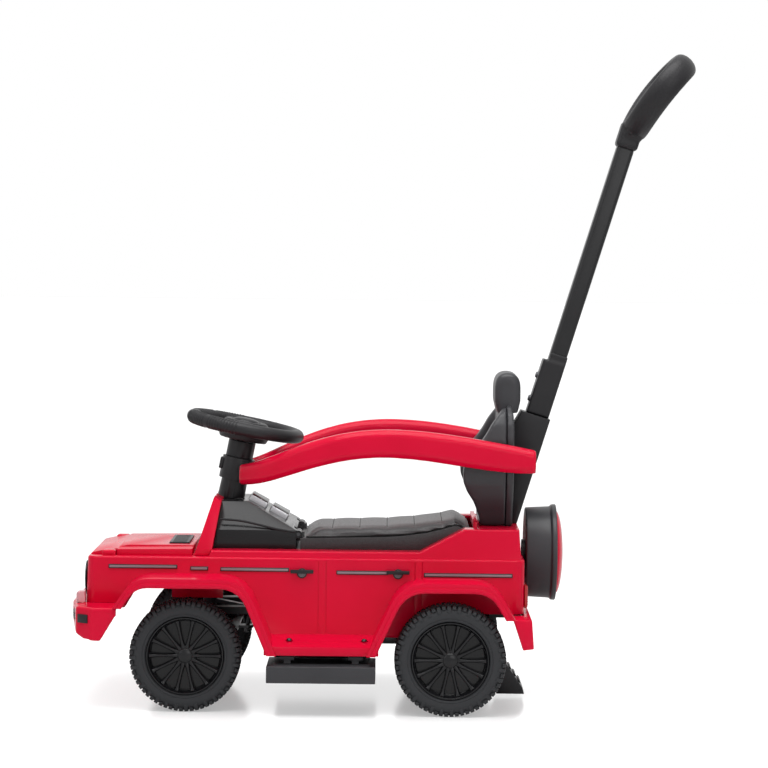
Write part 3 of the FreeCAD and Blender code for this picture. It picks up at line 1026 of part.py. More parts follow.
def backrest():
    """Bucket backrest in two halves, and the pill-shaped headrest that sits between its shoulders."""
    foot, tall = "deck_top", "back_tall"

    def rise(share):
        return "%s + %s * %s" % (foot, tall, share)
    front = slab("back_front_solid", [("back_split_x - back_deep * %s" % d, rise(h)) for d, h in BACK_PROFILE]
                 + [("back_split_x", foot)], "back_y")
    wing = [("back_y - back_waist * %s" % d, rise(h)) for d, h in BACK_EDGE]
    wing = [("back_y + body_wall", rise(BACK_EDGE[0][1])), *wing,
            ("back_y + body_wall", rise(BACK_EDGE[-1][1]))]
    wings = [wing, [("-(%s)" % y, z) for y, z in wing]]
    far = ("back_split_x - 2 * back_deep", "back_split_x + back_deep")
    top = rise("1") + " + 2 * body_wall"
    middle = slab("back_middle", [
        (far[0], foot + " + 2 * body_wall"), ("back_split_x - back_recess", foot + " + 2 * body_wall"),
        ("back_split_x - back_recess * 0.4", top), (far[0], top)], "back_y - back_waist")
    base, half = "(%s - headrest_sink)" % rise("1"), "headrest_width / 2"

    def saddle(label):
        return box(label, far, ("-(%s) - part_gap" % half, half + " + part_gap"), (base, top))
    keep(cut("backrest_front", front, prism("back_wings", "x", wings, *far), middle, saddle("saddle_front")))
    split = "back_split_x + part_gap"
    rear = slab("back_rear_solid", [("%s + back_rear_deep * %s" % (split, d), rise(h)) for d, h in BACK_CREST]
                + [(split, foot)], "back_y")
    keep(cut("backrest_rear", rear, prism("back_wings_rear", "x", wings, *far), saddle("saddle_rear")))

    def pill(x, share):
        return ("back_split_x + %s" % x, "%s + part_gap + headrest_tall * %s" % (base, share))
    fore, aft, crown = "-headrest_front", "headrest_rear", "(headrest_rear - headrest_front) / 2"
    profile = [pill(fore + " + headrest_taper", "0"), pill(fore, "0.3")]
    profile += bend(pill(fore, "0.62"), pill(fore, "1"), pill(crown, "1"))
    profile += bend(pill(crown, "1"), pill(aft, "1"), pill(aft, "0.62"))[1:]
    profile += [pill(aft, "0.3"), pill(aft + " - headrest_taper", "0")]
    edge, low = val(half), val(base) + 1

    def is_side(b):
        return abs(abs(b.YMin) - edge) < 0.1 and b.YLength < 0.1 and b.ZMax > low
    keep(rounded("headrest", slab("head_block", profile, half), ("headrest_round", is_side)))


def push_handle():
    """Socket, lower sleeve with stem, tube, grip loop and two snap buttons."""
    lean = ("handle_x", "handle_height", "handle_tilt")
    front = "(back_split_x + headrest_rear + head_clearance - handle_x) / cos(handle_tilt)"
    mouth = [tilted(lean, u, "-part_gap") for u in (front, "socket_rear")]
    depth = "(socket_rise - socket_rear * sin(handle_tilt)) / cos(handle_tilt)"
    block = slab("socket_block", [
        ("back_rear_x + part_gap", "deck_top"),
        ("back_rear_x + part_gap", "%s - socket_drop" % mouth[0][1]), *mouth,
        (tilted(lean, "socket_rear", "-(%s)" % depth)[0], "deck_top")], "socket_width / 2")
    bore = tilted_rod("socket_bore", lean, "stem_diameter / 2 + sliding_fit", "-stem_length - stem_gap",
                      "stem_gap")
    keep(cut("handle_socket", block, bore))
    wide = "sleeve_wide / 2"
    solids = [tilted_box("sleeve_block", lean, ("sleeve_front", "sleeve_back"), ("-" + wide, wide),
                         ("0", "sleeve_length")),
              tilted_box("sleeve_neck", lean, ("sleeve_front + sleeve_taper", "sleeve_back"),
                         ("-%s + 1" % wide, wide + " - 1"),
                         ("sleeve_length - sink", "sleeve_length + sleeve_shoulder")),
              tilted_rod("handle_stem", lean, "stem_diameter / 2", "-stem_length", "5")]
    tube_fit = [("tube_front - sliding_fit", "tube_back + sliding_fit"),
                ("-tube_wide / 2 - sliding_fit", "tube_wide / 2 + sliding_fit")]
    holes = [tilted_box("tube_seat_hole", lean, *tube_fit,
                        ("sleeve_length - tube_seat", "sleeve_length + tube_seat"))]

    def snap(label, radius, start, long, rise):
        obj = add("Part::Cylinder", label, Radius=radius, Height=long)
        x, z = tilted(lean, "sleeve_front + %s" % start, rise)
        return place(obj, x, 0, z, (0, 1, 0), "90 + handle_tilt")
    spots = dict(lower="snap_low", upper="snap_high")
    for name, rise in spots.items():
        holes.append(snap("snap_hole_" + name, "snap_radius + part_gap", "-1", "snap_well + 1", rise))
    keep(cut("handle_sleeve", fuse("sleeve_solid", *solids), *holes))
    for name, rise in spots.items():
        keep(snap(name + "_snap_button", "snap_radius", "-snap_proud", "snap_long", rise))
    keep(tilted_box("handle_tube", lean, ("tube_front", "tube_back"), ("-tube_wide / 2", "tube_wide / 2"),
                    ("sleeve_length - tube_seat + 0.5", "tube_length")))
    grip(lean, tube_fit)


def grip(lean, tube_fit):
    """Grip loop with a socket that takes the top of the tube."""
    half, long = "grip_width / 2", "grip_length"
    outer = [("28", "4"), (half, "grip_length * 0.5"), (half + " - 8", long + " - 30"),
             (half + " - 40", long + " - 6")]
    inner = [("12", "30"), (half + " - grip_bar", "grip_length * 0.5 + 2"),
             (half + " - grip_bar - 6", long + " - 38"),
             (half + " - grip_bar - 22", long + " - 6 - grip_bar")]
    loops = [[("-(%s)" % y, z) for y, z in ring] + ring[::-1] for ring in (outer, inner)]
    flat = prism("grip_flat", "x", loops, "-grip_thick / 2", "grip_thick / 2")
    thick = val("grip_thick / 2")
    soft = rounded("grip_soft", flat, (
        "grip_round", lambda b: b.XLength < 0.1 and abs(abs(b.XMin) - thick) < 0.1))
    soft.setExpression("Placement", None)
    x, z = tilted(lean, "-sleeve_setback", "tube_length + 8")
    place(soft, x, 0, z, (0, 1, 0), "grip_tilt")
    side = "tube_wide / 2 + grip_neck_wall"
    neck = tilted_box("grip_neck_block", lean, ("tube_front - grip_neck_wall", "tube_back + grip_neck_wall"),
                      ("-(%s)" % side, side), ("tube_length - sink", "tube_length + grip_neck - sink"))
    hole = tilted_box("grip_hole", lean, *tube_fit, ("tube_length - grip_neck", "tube_length + part_gap"))
    keep(cut("handle_grip", fuse("grip_solid", soft, neck), hole))


def armrests():
    """Two guard rails from the column collar to the backrest."""
    sections = []
    for i in range(7):
        along, out, up, tall, wide = ["arm_%s_%d" % (n, i) for n in ("along", "out", "up", "tall", "wide")]
        a, b = wide + " / 2", tall + " / 2"
        quarter = [(a + " - arm_chamfer", b), (a, b + " - arm_chamfer")]
        right = quarter + [(y, "-(%s)" % z) for y, z in quarter[::-1]]
        ring = right + [("-(%s)" % y, z) for y, z in right[::-1]]
        sections.append(station("arm_section_%d" % i, ring, along, "-" + out, "dash_height + " + up))
    bar = add("Part::Loft", "left_armrest")
    bar.Sections, bar.Solid, bar.Ruled = sections, True, False
    keep(bar)
    keep(mirror("right_armrest", bar))


def steps():
    """Pull-out foot steps on T rails under the floor, and the screws that hold the ledges."""
    def channel(x):
        neck, key = "key_neck + key_gap", "key_half + key_gap"
        half = [("rail_half", "sill_height"), ("rail_half", "rail_low"), (neck, "rail_low"),
                (neck, "key_low"), (key, "key_low"), (key, "key_low + key_tall + 1.5 * key_gap")]
        return [("%s - (%s)" % (x, a), z) for a, z in half] + [("%s + %s" % (x, a), z) for a, z in half[::-1]]
    rails = ("step_rail_0", "step_rail_1")
    keep(slab("step_rails", [channel(x) for x in rails], "rail_reach"))
    inner = "-step_y + step_depth"
    solids = [box("step_plate", ("step_front_x", "step_rear_x"), ("-step_y", inner),
                  ("step_bottom", "step_top"))]
    low = "key_low + part_gap"
    for x in rails:
        y = ("-step_y + key_outer", "-key_inner")
        solids += [box("neck_of_" + x, (x + " - key_neck", x + " + key_neck"), y,
                       ("step_top - sink", low + " + 1")),
                   box("key_of_" + x, (x + " - key_half", x + " + key_half"), y, (low, low + " + key_tall"))]
    hollow = box("step_hollow", ("step_front_x + step_wall", "step_rear_x - step_wall"),
                 ("-step_y + step_wall", inner + " + step_wall"),
                 ("step_bottom - step_wall", "step_top - step_wall"))
    left = keep(cut("left_step", fuse("step_solid", *solids), hollow))
    keep(mirror("right_step", left))
    screws = [rod("sill_" + x, "screw_radius", "sill_height + pan_thick + part_gap",
                  "ledge_height - screw_sunk", (x, "-sill_y + screw_inset")) for x in SCREWS]
    keep(both("sill_screws", group("sill_screws_left", screws)))


body_shell()
front_end()
rear_end()
side_fittings()
chassis()
steering()
wheels()
interior()
backrest()
push_handle()
armrests()
steps()
doc.recompute()

for obj in doc.Objects:
    if {"Invalid", "Error"} & set(obj.State):
        raise SystemExit("cannot build " + obj.Label)
for obj in pieces:
    if obj.Shape.isNull() or not obj.Shape.isValid():
        raise SystemExit("faulty solid " + obj.Label)
os.makedirs("parts", exist_ok=True)
for obj in pieces:
    obj.Shape.exportStep("parts/%s.step" % obj.Label)
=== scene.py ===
"""Toddler push car with a parent handle: the fine form and finish of every piece, on the CAD frame."""
import json
import math
import bmesh
import bpy
from mathutils import Matrix, Vector


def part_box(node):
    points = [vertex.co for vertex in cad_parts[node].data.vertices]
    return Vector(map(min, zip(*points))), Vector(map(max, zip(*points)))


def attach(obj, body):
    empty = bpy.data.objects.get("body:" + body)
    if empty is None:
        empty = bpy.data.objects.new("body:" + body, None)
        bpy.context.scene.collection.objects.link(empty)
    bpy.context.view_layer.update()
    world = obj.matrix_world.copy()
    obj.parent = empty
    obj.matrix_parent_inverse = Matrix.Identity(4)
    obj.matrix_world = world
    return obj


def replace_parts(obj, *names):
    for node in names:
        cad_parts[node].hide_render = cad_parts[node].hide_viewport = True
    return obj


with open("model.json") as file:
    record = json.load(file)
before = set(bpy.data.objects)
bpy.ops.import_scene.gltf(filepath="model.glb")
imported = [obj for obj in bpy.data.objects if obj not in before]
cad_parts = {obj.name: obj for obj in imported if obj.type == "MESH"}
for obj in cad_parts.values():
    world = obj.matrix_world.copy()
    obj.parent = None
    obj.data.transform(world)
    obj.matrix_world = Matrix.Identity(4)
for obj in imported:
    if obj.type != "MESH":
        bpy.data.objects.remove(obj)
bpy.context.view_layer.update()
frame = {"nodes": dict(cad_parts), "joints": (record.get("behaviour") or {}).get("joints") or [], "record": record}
nodes = frame["nodes"]
MM = 0.001


# Running gear: steel rods and pins in a black chassis moulding, mostly hidden under the body.
# The steel is drawn, so its streaks run along the car's width; the axles are zinc plated and the linkage
# is oiled black. The plastic has a fine eroded grain.
def socket_group(name, inputs, outputs):
    """Empty shader node group with number sockets, and its two end nodes."""
    group = bpy.data.node_groups.new(name, "ShaderNodeTree")
    for label, value in inputs.items():
        socket = group.interface.new_socket(label, in_out="INPUT", socket_type="NodeSocketFloat")
        socket.default_value = value
    for label in outputs:
        group.interface.new_socket(label, in_out="OUTPUT", socket_type="NodeSocketFloat")
    return group, group.nodes.new("NodeGroupInput"), group.nodes.new("NodeGroupOutput")


def mould_grain():
    """Fine mould texture (Height) and the slow drift of shade in cooled plastic (Shade)."""
    group, start, end = socket_group("mould_grain", dict(Grain=1400, Drift=16), ("Height", "Shade"))
    place = group.nodes.new("ShaderNodeTexCoord")
    for label, detail, result in (("Grain", 4, "Height"), ("Drift", 2, "Shade")):
        cloud = group.nodes.new("ShaderNodeTexNoise")
        cloud.inputs["Detail"].default_value = detail
        group.links.new(place.outputs["Object"], cloud.inputs["Vector"])
        group.links.new(start.outputs[label], cloud.inputs["Scale"])
        group.links.new(cloud.outputs[0], end.inputs[result])
    return group


MOULD_GRAIN = mould_grain()


def skin(name, sockets):
    """New material whose Principled shader has these plain socket values."""
    material = bpy.data.materials.new(name)
    material.use_nodes = True
    shader = material.node_tree.nodes["Principled BSDF"]
    for label, value in sockets.items():
        shader.inputs[label].default_value = value
    return material, material.node_tree, shader


def shades(tree, shader, factor, dark, light):
    """Base colour that drifts between two close shades."""
    mix = tree.nodes.new("ShaderNodeMix")
    mix.data_type = "RGBA"
    mix.inputs[6].default_value, mix.inputs[7].default_value = (*dark, 1), (*light, 1)
    tree.links.new(factor, mix.inputs[0])
    tree.links.new(mix.outputs[2], shader.inputs["Base Color"])


def spread(tree, value, low, high):
    """A 0 to 1 value carried to the range low to high."""
    node = tree.nodes.new("ShaderNodeMapRange")
    node.inputs["To Min"].default_value, node.inputs["To Max"].default_value = low, high
    tree.links.new(value, node.inputs["Value"])
    return node.outputs["Result"]


def relief(tree, shader, height, depth):
    """Fine bumps of the given depth on the shader's surface."""
    bump = tree.nodes.new("ShaderNodeBump")
    bump.inputs["Distance"].default_value = depth
    tree.links.new(height, bump.inputs["Height"])
    tree.links.new(bump.outputs["Normal"], shader.inputs["Normal"])


def moulded(name, dark, light, rough, grain=1400, depth=0.03 * MM, specular=0.28, sockets={}):
    """Moulded plastic: two close shades, mould grain, and gloss that drifts with the shade."""
    material, tree, shader = skin(name, {"Specular IOR Level": specular, **sockets})
    texture = tree.nodes.new("ShaderNodeGroup")
    texture.node_tree = MOULD_GRAIN
    texture.inputs["Grain"].default_value = grain
    shades(tree, shader, texture.outputs["Shade"], dark, light)
    gloss = spread(tree, texture.outputs["Shade"], rough - 0.08, rough + 0.08)
    tree.links.new(gloss, shader.inputs["Roughness"])
    relief(tree, shader, texture.outputs["Height"], depth)
    return material


def drawn_steel(name, dark, light):
    """Steel with fine streaks along Y."""
    material, tree, shader = skin(name, {"Metallic": 1.0})
    place = tree.nodes.new("ShaderNodeTexCoord")
    stretch = tree.nodes.new("ShaderNodeMapping")
    stretch.inputs["Scale"].default_value = (1600, 30, 1600)
    streak = tree.nodes.new("ShaderNodeTexNoise")
    streak.inputs["Scale"].default_value = 1
    tree.links.new(place.outputs["Object"], stretch.inputs["Vector"])
    tree.links.new(stretch.outputs["Vector"], streak.inputs["Vector"])
    shades(tree, shader, streak.outputs[0], dark, light)
    tree.links.new(spread(tree, streak.outputs[0], 0.22, 0.42), shader.inputs["Roughness"])
    relief(tree, shader, streak.outputs[0], 0.01 * MM)
    return material


def dress(material, *names):
    """Finish CAD nodes that keep their own form."""
    for name in names:
        nodes[name].data.materials.clear()
        nodes[name].data.materials.append(material)


black_moulding = moulded("black_moulding", (0.006, 0.006, 0.007), (0.013, 0.012, 0.014), 0.36)
zinc = drawn_steel("zinc_plate", (0.45, 0.45, 0.46), (0.72, 0.72, 0.73))
oiled = drawn_steel("oiled_steel", (0.04, 0.04, 0.042), (0.09, 0.09, 0.095))
dress(zinc, "rear_axle", "kingpins")
dress(oiled, "hinge_pins", "tie_rod", "steering_shaft")
dress(black_moulding, "chassis", "axle_spacers", "front_axle_beam", "left_knuckle", "right_knuckle",
      "sound_box", "storage_tub", "step_rails")


# Body: one hollow red polypropylene moulding with wheel flares, sills and rear quarters.
# Every outside edge has a small mould radius, and a lip runs round the edge of each wheel opening.
def new_piece(name, mesh):
    """Object at the origin, in the scene."""
    piece = bpy.data.objects.new(name, mesh)
    bpy.context.scene.collection.objects.link(piece)
    return piece


def from_form(name, form):
    """Object from a bmesh, its faces turned outwards."""
    bmesh.ops.recalc_face_normals(form, faces=form.faces)
    mesh = bpy.data.meshes.new(name)
    form.to_mesh(mesh)
    form.free()
    return new_piece(name, mesh)


def settle(piece, crease=32):
    """Apply the modifiers and shade smooth between edges sharper than `crease` degrees."""
    graph = bpy.context.evaluated_depsgraph_get()
    mesh = bpy.data.meshes.new_from_object(piece.evaluated_get(graph))
    piece.modifiers.clear()
    piece.data = mesh
    mesh.shade_smooth()
    mesh.set_sharp_from_angle(angle=math.radians(crease))
    return piece


def cad_form(node):
    """Merged copy of a CAD solid, with its flat faces whole again."""
    form = bmesh.new()
    form.from_mesh(nodes[node].data)
    bmesh.ops.remove_doubles(form, verts=form.verts, dist=0.02 * MM)
    bmesh.ops.dissolve_limit(form, angle_limit=math.radians(1.5), verts=form.verts, edges=form.edges)
    mesh = bpy.data.meshes.new(node + "_form")
    form.to_mesh(mesh)
    form.free()
    return mesh


def rounded(node, name, width, segments=3, sharp=30):
    """Copy of a CAD solid with its sharp edges rounded."""
    piece = new_piece(name, cad_form(node))
    edge = piece.modifiers.new("edge_radius", "BEVEL")
    edge.width, edge.segments, edge.limit_method = width, segments, "ANGLE"
    edge.angle_limit = math.radians(sharp)
    return settle(piece)


def cast(node, name, voxel, passes, crease=40):
    """Copy of a CAD solid with all its edges melted to a soft radius."""
    piece = new_piece(name, cad_form(node))
    remesh = piece.modifiers.new("cells", "REMESH")
    remesh.mode, remesh.voxel_size = "VOXEL", voxel
    soften = piece.modifiers.new("soften", "SMOOTH")
    soften.factor, soften.iterations = 0.5, passes
    return settle(piece, crease)


body_of = {n: b for b, held in frame["record"]["behaviour"]["bodies"].items() for n in held}


def finish(piece, material, node):
    """Give a piece its material and let it ride with a CAD node's body."""
    piece.data.materials.clear()
    piece.data.materials.append(material)
    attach(piece, body_of[node])
    return piece


def stand_for(piece, material, node):
    """Finish a piece and let it take the place of its CAD node."""
    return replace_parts(finish(piece, material, node), node)


def eased(points, radius, steps=4, closed=False):
    """Corner points with each corner turned into a short curve."""
    points = [Vector(p) for p in points]
    count, result = len(points), []
    for i, corner in enumerate(points):
        if not closed and i in (0, count - 1):
            result.append(corner)
            continue
        before, after = points[i - 1] - corner, points[(i + 1) % count] - corner
        start = corner + before.normalized() * min(radius, before.length * 0.48)
        end = corner + after.normalized() * min(radius, after.length * 0.48)
        for k in range(steps + 1):
            t = k / steps
            result.append(start * (1 - t) ** 2 + corner * 2 * t * (1 - t) + end * t ** 2)
    return result


def swept(name, path, section, side):
    """Moulding along a path of (x, z); section points are (across the path, y)."""
    form = bmesh.new()
    rings = []
    for i, spot in enumerate(path):
        ahead = (path[min(i + 1, len(path) - 1)] - path[max(i - 1, 0)]).normalized()
        across = Vector((-ahead.y, ahead.x))
        rings.append([form.verts.new((spot.x + across.x * a, side * y, spot.y + across.y * a))
                      for a, y in section])
    count = len(section)
    for one, two in zip(rings, rings[1:]):
        for k in range(count):
            form.faces.new((one[k], one[(k + 1) % count], two[(k + 1) % count], two[k]))
    form.faces.new(rings[0])
    form.faces.new(rings[-1])
    return settle(from_form(name, form), 40)


red_gloss = moulded("red_gloss", (0.55, 0.002, 0.026), (0.63, 0.003, 0.034), 0.20, 900, 0.004 * MM, 0.12)
stand_for(rounded("body_shell", "body_moulding", 2.0 * MM), red_gloss, "body_shell")

flare_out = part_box("body_shell")[1].y
SILL, LIP_WIDTH, LIP_PROUD = 83 * MM, 6.0 * MM, 1.6 * MM
lip_section = eased([(-LIP_WIDTH / 2, flare_out - 1 * MM), (-LIP_WIDTH / 2, flare_out + LIP_PROUD * 0.5),
                     (-LIP_WIDTH * 0.25, flare_out + LIP_PROUD), (LIP_WIDTH / 2, flare_out + LIP_PROUD),
                     (LIP_WIDTH / 2, flare_out - 1 * MM)], 0.8 * MM, 2, closed=True)


def arch_leg(middle, height, away, half, foot, turn, low):
    """Half of a wheel opening's edge: up the leaning leg, round the corner, to the top middle."""
    lean, rise = (foot - half) / (height - SILL), LIP_WIDTH / 2 + 1 * MM
    peak = height + rise
    ends = [(middle + away * (half + (height - z) * lean + rise), z) for z in (low, peak)]
    return eased(ends + [(middle, peak)], turn)


for name, middle, height, lead, trail in (("front", -284, 175, (62, 125, 18, 147), (79, 118, 30, 84)),
                                          ("rear", 87, 172, (62, 103, 30, 84), (54, 107, 24, 136))):
    legs = [arch_leg(middle * MM, height * MM, away, *(v * MM for v in leg))
            for away, leg in ((-1, lead), (1, trail))]
    arch = legs[0] + legs[1][-2::-1]
    for side, word in ((-1, "left"), (1, "right")):
        lip = swept("%s_%s_arch_lip" % (name, word), arch, lip_section, side)
        finish(lip, red_gloss, "body_shell")


# Road wheels: charcoal hard tyres with a moulded block tread, on satin black spoked rims.
# A tyre is a turned carcass with sidewall rings and 32 pitches of lugs; a rim has 14 ridged spokes,
# a rolled lip, a plain domed cap and five bolt heads, and is bored for its axle.
def mm(points):
    """Points given in millimetres."""
    return [tuple(v * MM for v in point) for point in points]


def turned(name, profile, centre, axis, steps=72, crease=32):
    """Turned piece: points of (radius, along the axis) spun about an axis through `centre`."""
    along = Vector(axis).normalized()
    turn = along.to_track_quat("Z", "Y")
    angles = [2 * math.pi * k / steps for k in range(steps)]
    spots = [turn @ Vector((math.cos(t), math.sin(t), 0)) for t in angles]
    form = bmesh.new()
    rings = []
    for radius, reach in profile:
        middle = Vector(centre) + along * reach
        rings.append([form.verts.new(middle + spot * radius) for spot in (spots if radius else spots[:1])])
    pairs = list(zip(rings, rings[1:]))
    if profile[0][0]:
        pairs.append((rings[-1], rings[0]))
    for one, two in pairs:
        for k in range(steps):
            ends = one[k % len(one)], one[(k + 1) % len(one)], two[(k + 1) % len(two)], two[k % len(two)]
            form.faces.new(list(dict.fromkeys(ends)))
    return settle(from_form(name, form), crease)


def repeat_tree():
    """Count copies of a form, each turned by Step about Axis through Centre and moved on by Offset."""
    tree = bpy.data.node_groups.new("repeat", "GeometryNodeTree")
    tree.interface.new_socket("Geometry", in_out="INPUT", socket_type="NodeSocketGeometry")
    for label, kind in (("Count", "Int"), ("Centre", "Vector"), ("Axis", "Vector"), ("Step", "Float"),
                        ("Offset", "Vector"), ("Material", "Material")):
        tree.interface.new_socket(label, in_out="INPUT", socket_type="NodeSocket" + kind)
    tree.interface.new_socket("Geometry", in_out="OUTPUT", socket_type="NodeSocketGeometry")
    kinds = dict(given="NodeGroupInput", done="NodeGroupOutput", row="GeometryNodeMeshLine",
                 back="ShaderNodeVectorMath", shift="GeometryNodeTransform", index="GeometryNodeInputIndex",
                 angle="ShaderNodeMath", turn="FunctionNodeAxisAngleToRotation",
                 copies="GeometryNodeInstanceOnPoints", real="GeometryNodeRealizeInstances",
                 paint="GeometryNodeSetMaterial")
    node = {name: tree.nodes.new(kind) for name, kind in kinds.items()}
    node["back"].operation, node["angle"].operation = "SCALE", "MULTIPLY"
    node["back"].inputs["Scale"].default_value = -1
    for one, out, two, into in (
            ("given", "Count", "row", "Count"), ("given", "Centre", "row", "Start Location"),
            ("given", "Offset", "row", "Offset"), ("given", "Centre", "back", 0),
            ("given", "Geometry", "shift", "Geometry"), ("back", 0, "shift", "Translation"),
            ("index", 0, "angle", 0), ("given", "Step", "angle", 1), ("given", "Axis", "turn", "Axis"),
            ("angle", 0, "turn", "Angle"), ("row", 0, "copies", "Points"), ("shift", 0, "copies", "Instance"),
            ("turn", 0, "copies", "Rotation"), ("copies", 0, "real", 0), ("real", 0, "paint", 0),
            ("given", "Material", "paint", "Material"), ("paint", 0, "done", 0)):
        tree.links.new(node[one].outputs[out], node[two].inputs[into])
    return tree


REPEAT = repeat_tree()


def repeated(piece, material, count, centre=(0, 0, 0), axis=(0, 0, 1), step=0.0, offset=(0, 0, 0)):
    """The piece as a row or ring of copies, made by the repeat tree and turned into a plain mesh."""
    row = piece.modifiers.new("repeat", "NODES")
    row.node_group = REPEAT
    given = dict(Count=count, Centre=centre, Axis=axis, Step=step, Offset=offset, Material=material)
    for socket in REPEAT.interface.items_tree:
        if socket.in_out == "INPUT" and socket.name in given:
            row[socket.identifier] = given[socket.name]
    return settle(piece)


def joined(name, *pieces):
    """Several pieces as one mesh."""
    form = bmesh.new()
    for piece in pieces:
        form.from_mesh(piece.data)
        bpy.data.objects.remove(piece)
    mesh = bpy.data.meshes.new(name)
    form.to_mesh(mesh)
    form.free()
    return new_piece(name, mesh)


def lofted(form, rings):
    """Closed skin through rings with the same number of points."""
    rings = [[form.verts.new(p) for p in ring] for ring in rings]
    count = len(rings[0])
    for one, two in zip(rings, rings[1:]):
        for k in range(count):
            form.faces.new((one[k], one[(k + 1) % count], two[(k + 1) % count], two[k]))
    form.faces.new(rings[0])
    form.faces.new(rings[-1])


def soften_edges(form, radius):
    """Break every edge of a small form."""
    bmesh.ops.bevel(form, geom=form.edges[:], offset=radius, segments=1, affect="EDGES", profile=0.5)


def tread(name, centre, out):
    """One pitch of the tread: shoulder lugs that wrap on to the sidewall, and centre blocks."""
    shoulder = [(73.4, 7.6), (77.3, 8.2), (77.3, 19), (75.8, 22.2)]
    long_lug = shoulder + [(71.6, 24.2), (67.4, 24.5), (67.4, 22), (71, 20)]
    short_lug = shoulder + [(73.6, 23.6), (71.8, 23.9), (71.8, 21), (72, 20)]
    block = [(74, -6.2), (77.4, -5.7), (77.4, 1.6), (74, 2.1)]
    form = bmesh.new()
    for outline, start, wide in ((long_lug, 0, 3.9), (short_lug, 5.6, 3.9), (block, 1.6, 4.6)):
        for side, shift in ((1, 0), (-1, 5.6)):
            rings = []
            for angle in (start + shift, start + shift + wide):
                ray = Vector((math.cos(math.radians(angle)), 0, math.sin(math.radians(angle))))
                rings.append([centre + (ray * r + out * a * side) * MM for r, a in outline])
            lofted(form, rings)
    soften_edges(form, 0.4 * MM)
    return settle(from_form(name, form))


def spoke(name, centre, out):
    """Slim spoke with a flat ridge, wider where it meets the hub and the lip."""
    form = bmesh.new()
    rings = []
    for r, half, top in ((10, 4.2, 15.6), (16, 2.9, 16.8), (24, 2.3, 17.2), (38, 2.3, 17.6), (46, 3.0, 18.6),
                         (49.6, 4.6, 20.4)):
        ridge = [(-half, 8), (-half, top - 2.2), (-half * 0.5, top)]
        section = ridge + [(-t, a) for t, a in ridge[::-1]]
        rings.append([centre + (Vector((r, 0, t)) + out * a) * MM for t, a in section])
    lofted(form, rings)
    soften_edges(form, 0.35 * MM)
    return settle(from_form(name, form))


half_tyre = [(54.4, 16), (54.4, 21), (56, 23.2), (57.6, 23.4), (58.1, 22.9), (59, 22.9), (59.5, 23.5),
             (63, 23.9), (67.2, 23.8), (70.5, 22.6), (73.2, 20), (74.6, 15), (74.8, 0)]
carcass = half_tyre + [(r, -a) for r, a in half_tyre[-2::-1]]
rim_face = [(0, 18.4), (4, 18.2), (8.4, 17.2), (10.4, 15.6), (11, 14.6), (14.6, 14.4), (15.8, 13.4),
            (16.4, 9.6), (20, 8.8), (47.6, 8.4), (48.8, 9.6), (49.4, 17.6), (50.4, 20.6), (51.8, 22.2),
            (53.2, 22.3), (54.1, 20.6)]
rim_back = [(54.1, -20.6), (50, -20.6), (48, -17), (11, -17), (11, -20.8), (5.14, -20.8), (5.14, 13.6),
            (0, 13.6)]
bolt_head = [(0, 16.4), (1.2, 16.2), (1.7, 15.4), (1.8, 13.6), (0, 13.6)]
tyre_charcoal = moulded("tyre_charcoal", (0.019, 0.020, 0.022), (0.027, 0.028, 0.031), 0.62, 700, 0.04 * MM)
rim_satin = moulded("rim_satin", (0.003, 0.003, 0.004), (0.006, 0.006, 0.007), 0.24, 1800, 0.008 * MM)
LUG_PITCHES, SPOKES, BOLTS, BOLT_RADIUS = 32, 14, 5, 13 * MM
for wheel in ("front_left", "front_right", "rear_left", "rear_right"):
    low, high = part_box(wheel + "_tyre")
    centre = (low + high) / 2
    out = Vector((0, math.copysign(1, centre.y), 0))
    ring = dict(centre=centre, axis=out)
    lugs = repeated(tread("lugs", centre, out), tyre_charcoal, LUG_PITCHES, step=math.tau / LUG_PITCHES,
                    **ring)
    stand_for(joined(wheel + "_block_tyre", turned("carcass", mm(carcass), centre, out, 96), lugs),
              tyre_charcoal, wheel + "_tyre")
    spokes = repeated(spoke("spokes", centre, out), rim_satin, SPOKES, step=math.tau / SPOKES, **ring)
    bolt = turned("bolts", mm(bolt_head), centre + Vector((0, 0, BOLT_RADIUS)), out, 12)
    bolts = repeated(bolt, rim_satin, BOLTS, step=math.tau / BOLTS, **ring)
    disc = turned("face", mm(rim_face + rim_back), centre, out)
    stand_for(joined(wheel + "_spoked_rim", disc, spokes, bolts), rim_satin, wheel + "_rim")


# Steering: black wheel on a black column, with grip ribs on the fore part of the rim and a domed horn.
# The wheel is one soft-edged moulding; the ribs are rings round its rim; the column carries a collar
# for the guard rails and a small latch box in front.
def block(name, centre, half, axes=((1, 0, 0), (0, 1, 0), (0, 0, 1)), radius=0.5 * MM, segments=2):
    """Rectangular moulding about a centre, along three given directions, with rounded edges."""
    u, v, w = [Vector(a) * h for a, h in zip(axes, half)]
    form = bmesh.new()
    ring = (-u - v, u - v, u + v, -u + v)
    lofted(form, [[Vector(centre) + corner + end for corner in ring] for end in (-w, w)])
    piece = from_form(name, form)
    edge = piece.modifiers.new("edge_radius", "BEVEL")
    edge.width, edge.segments = radius, segments
    return settle(piece)


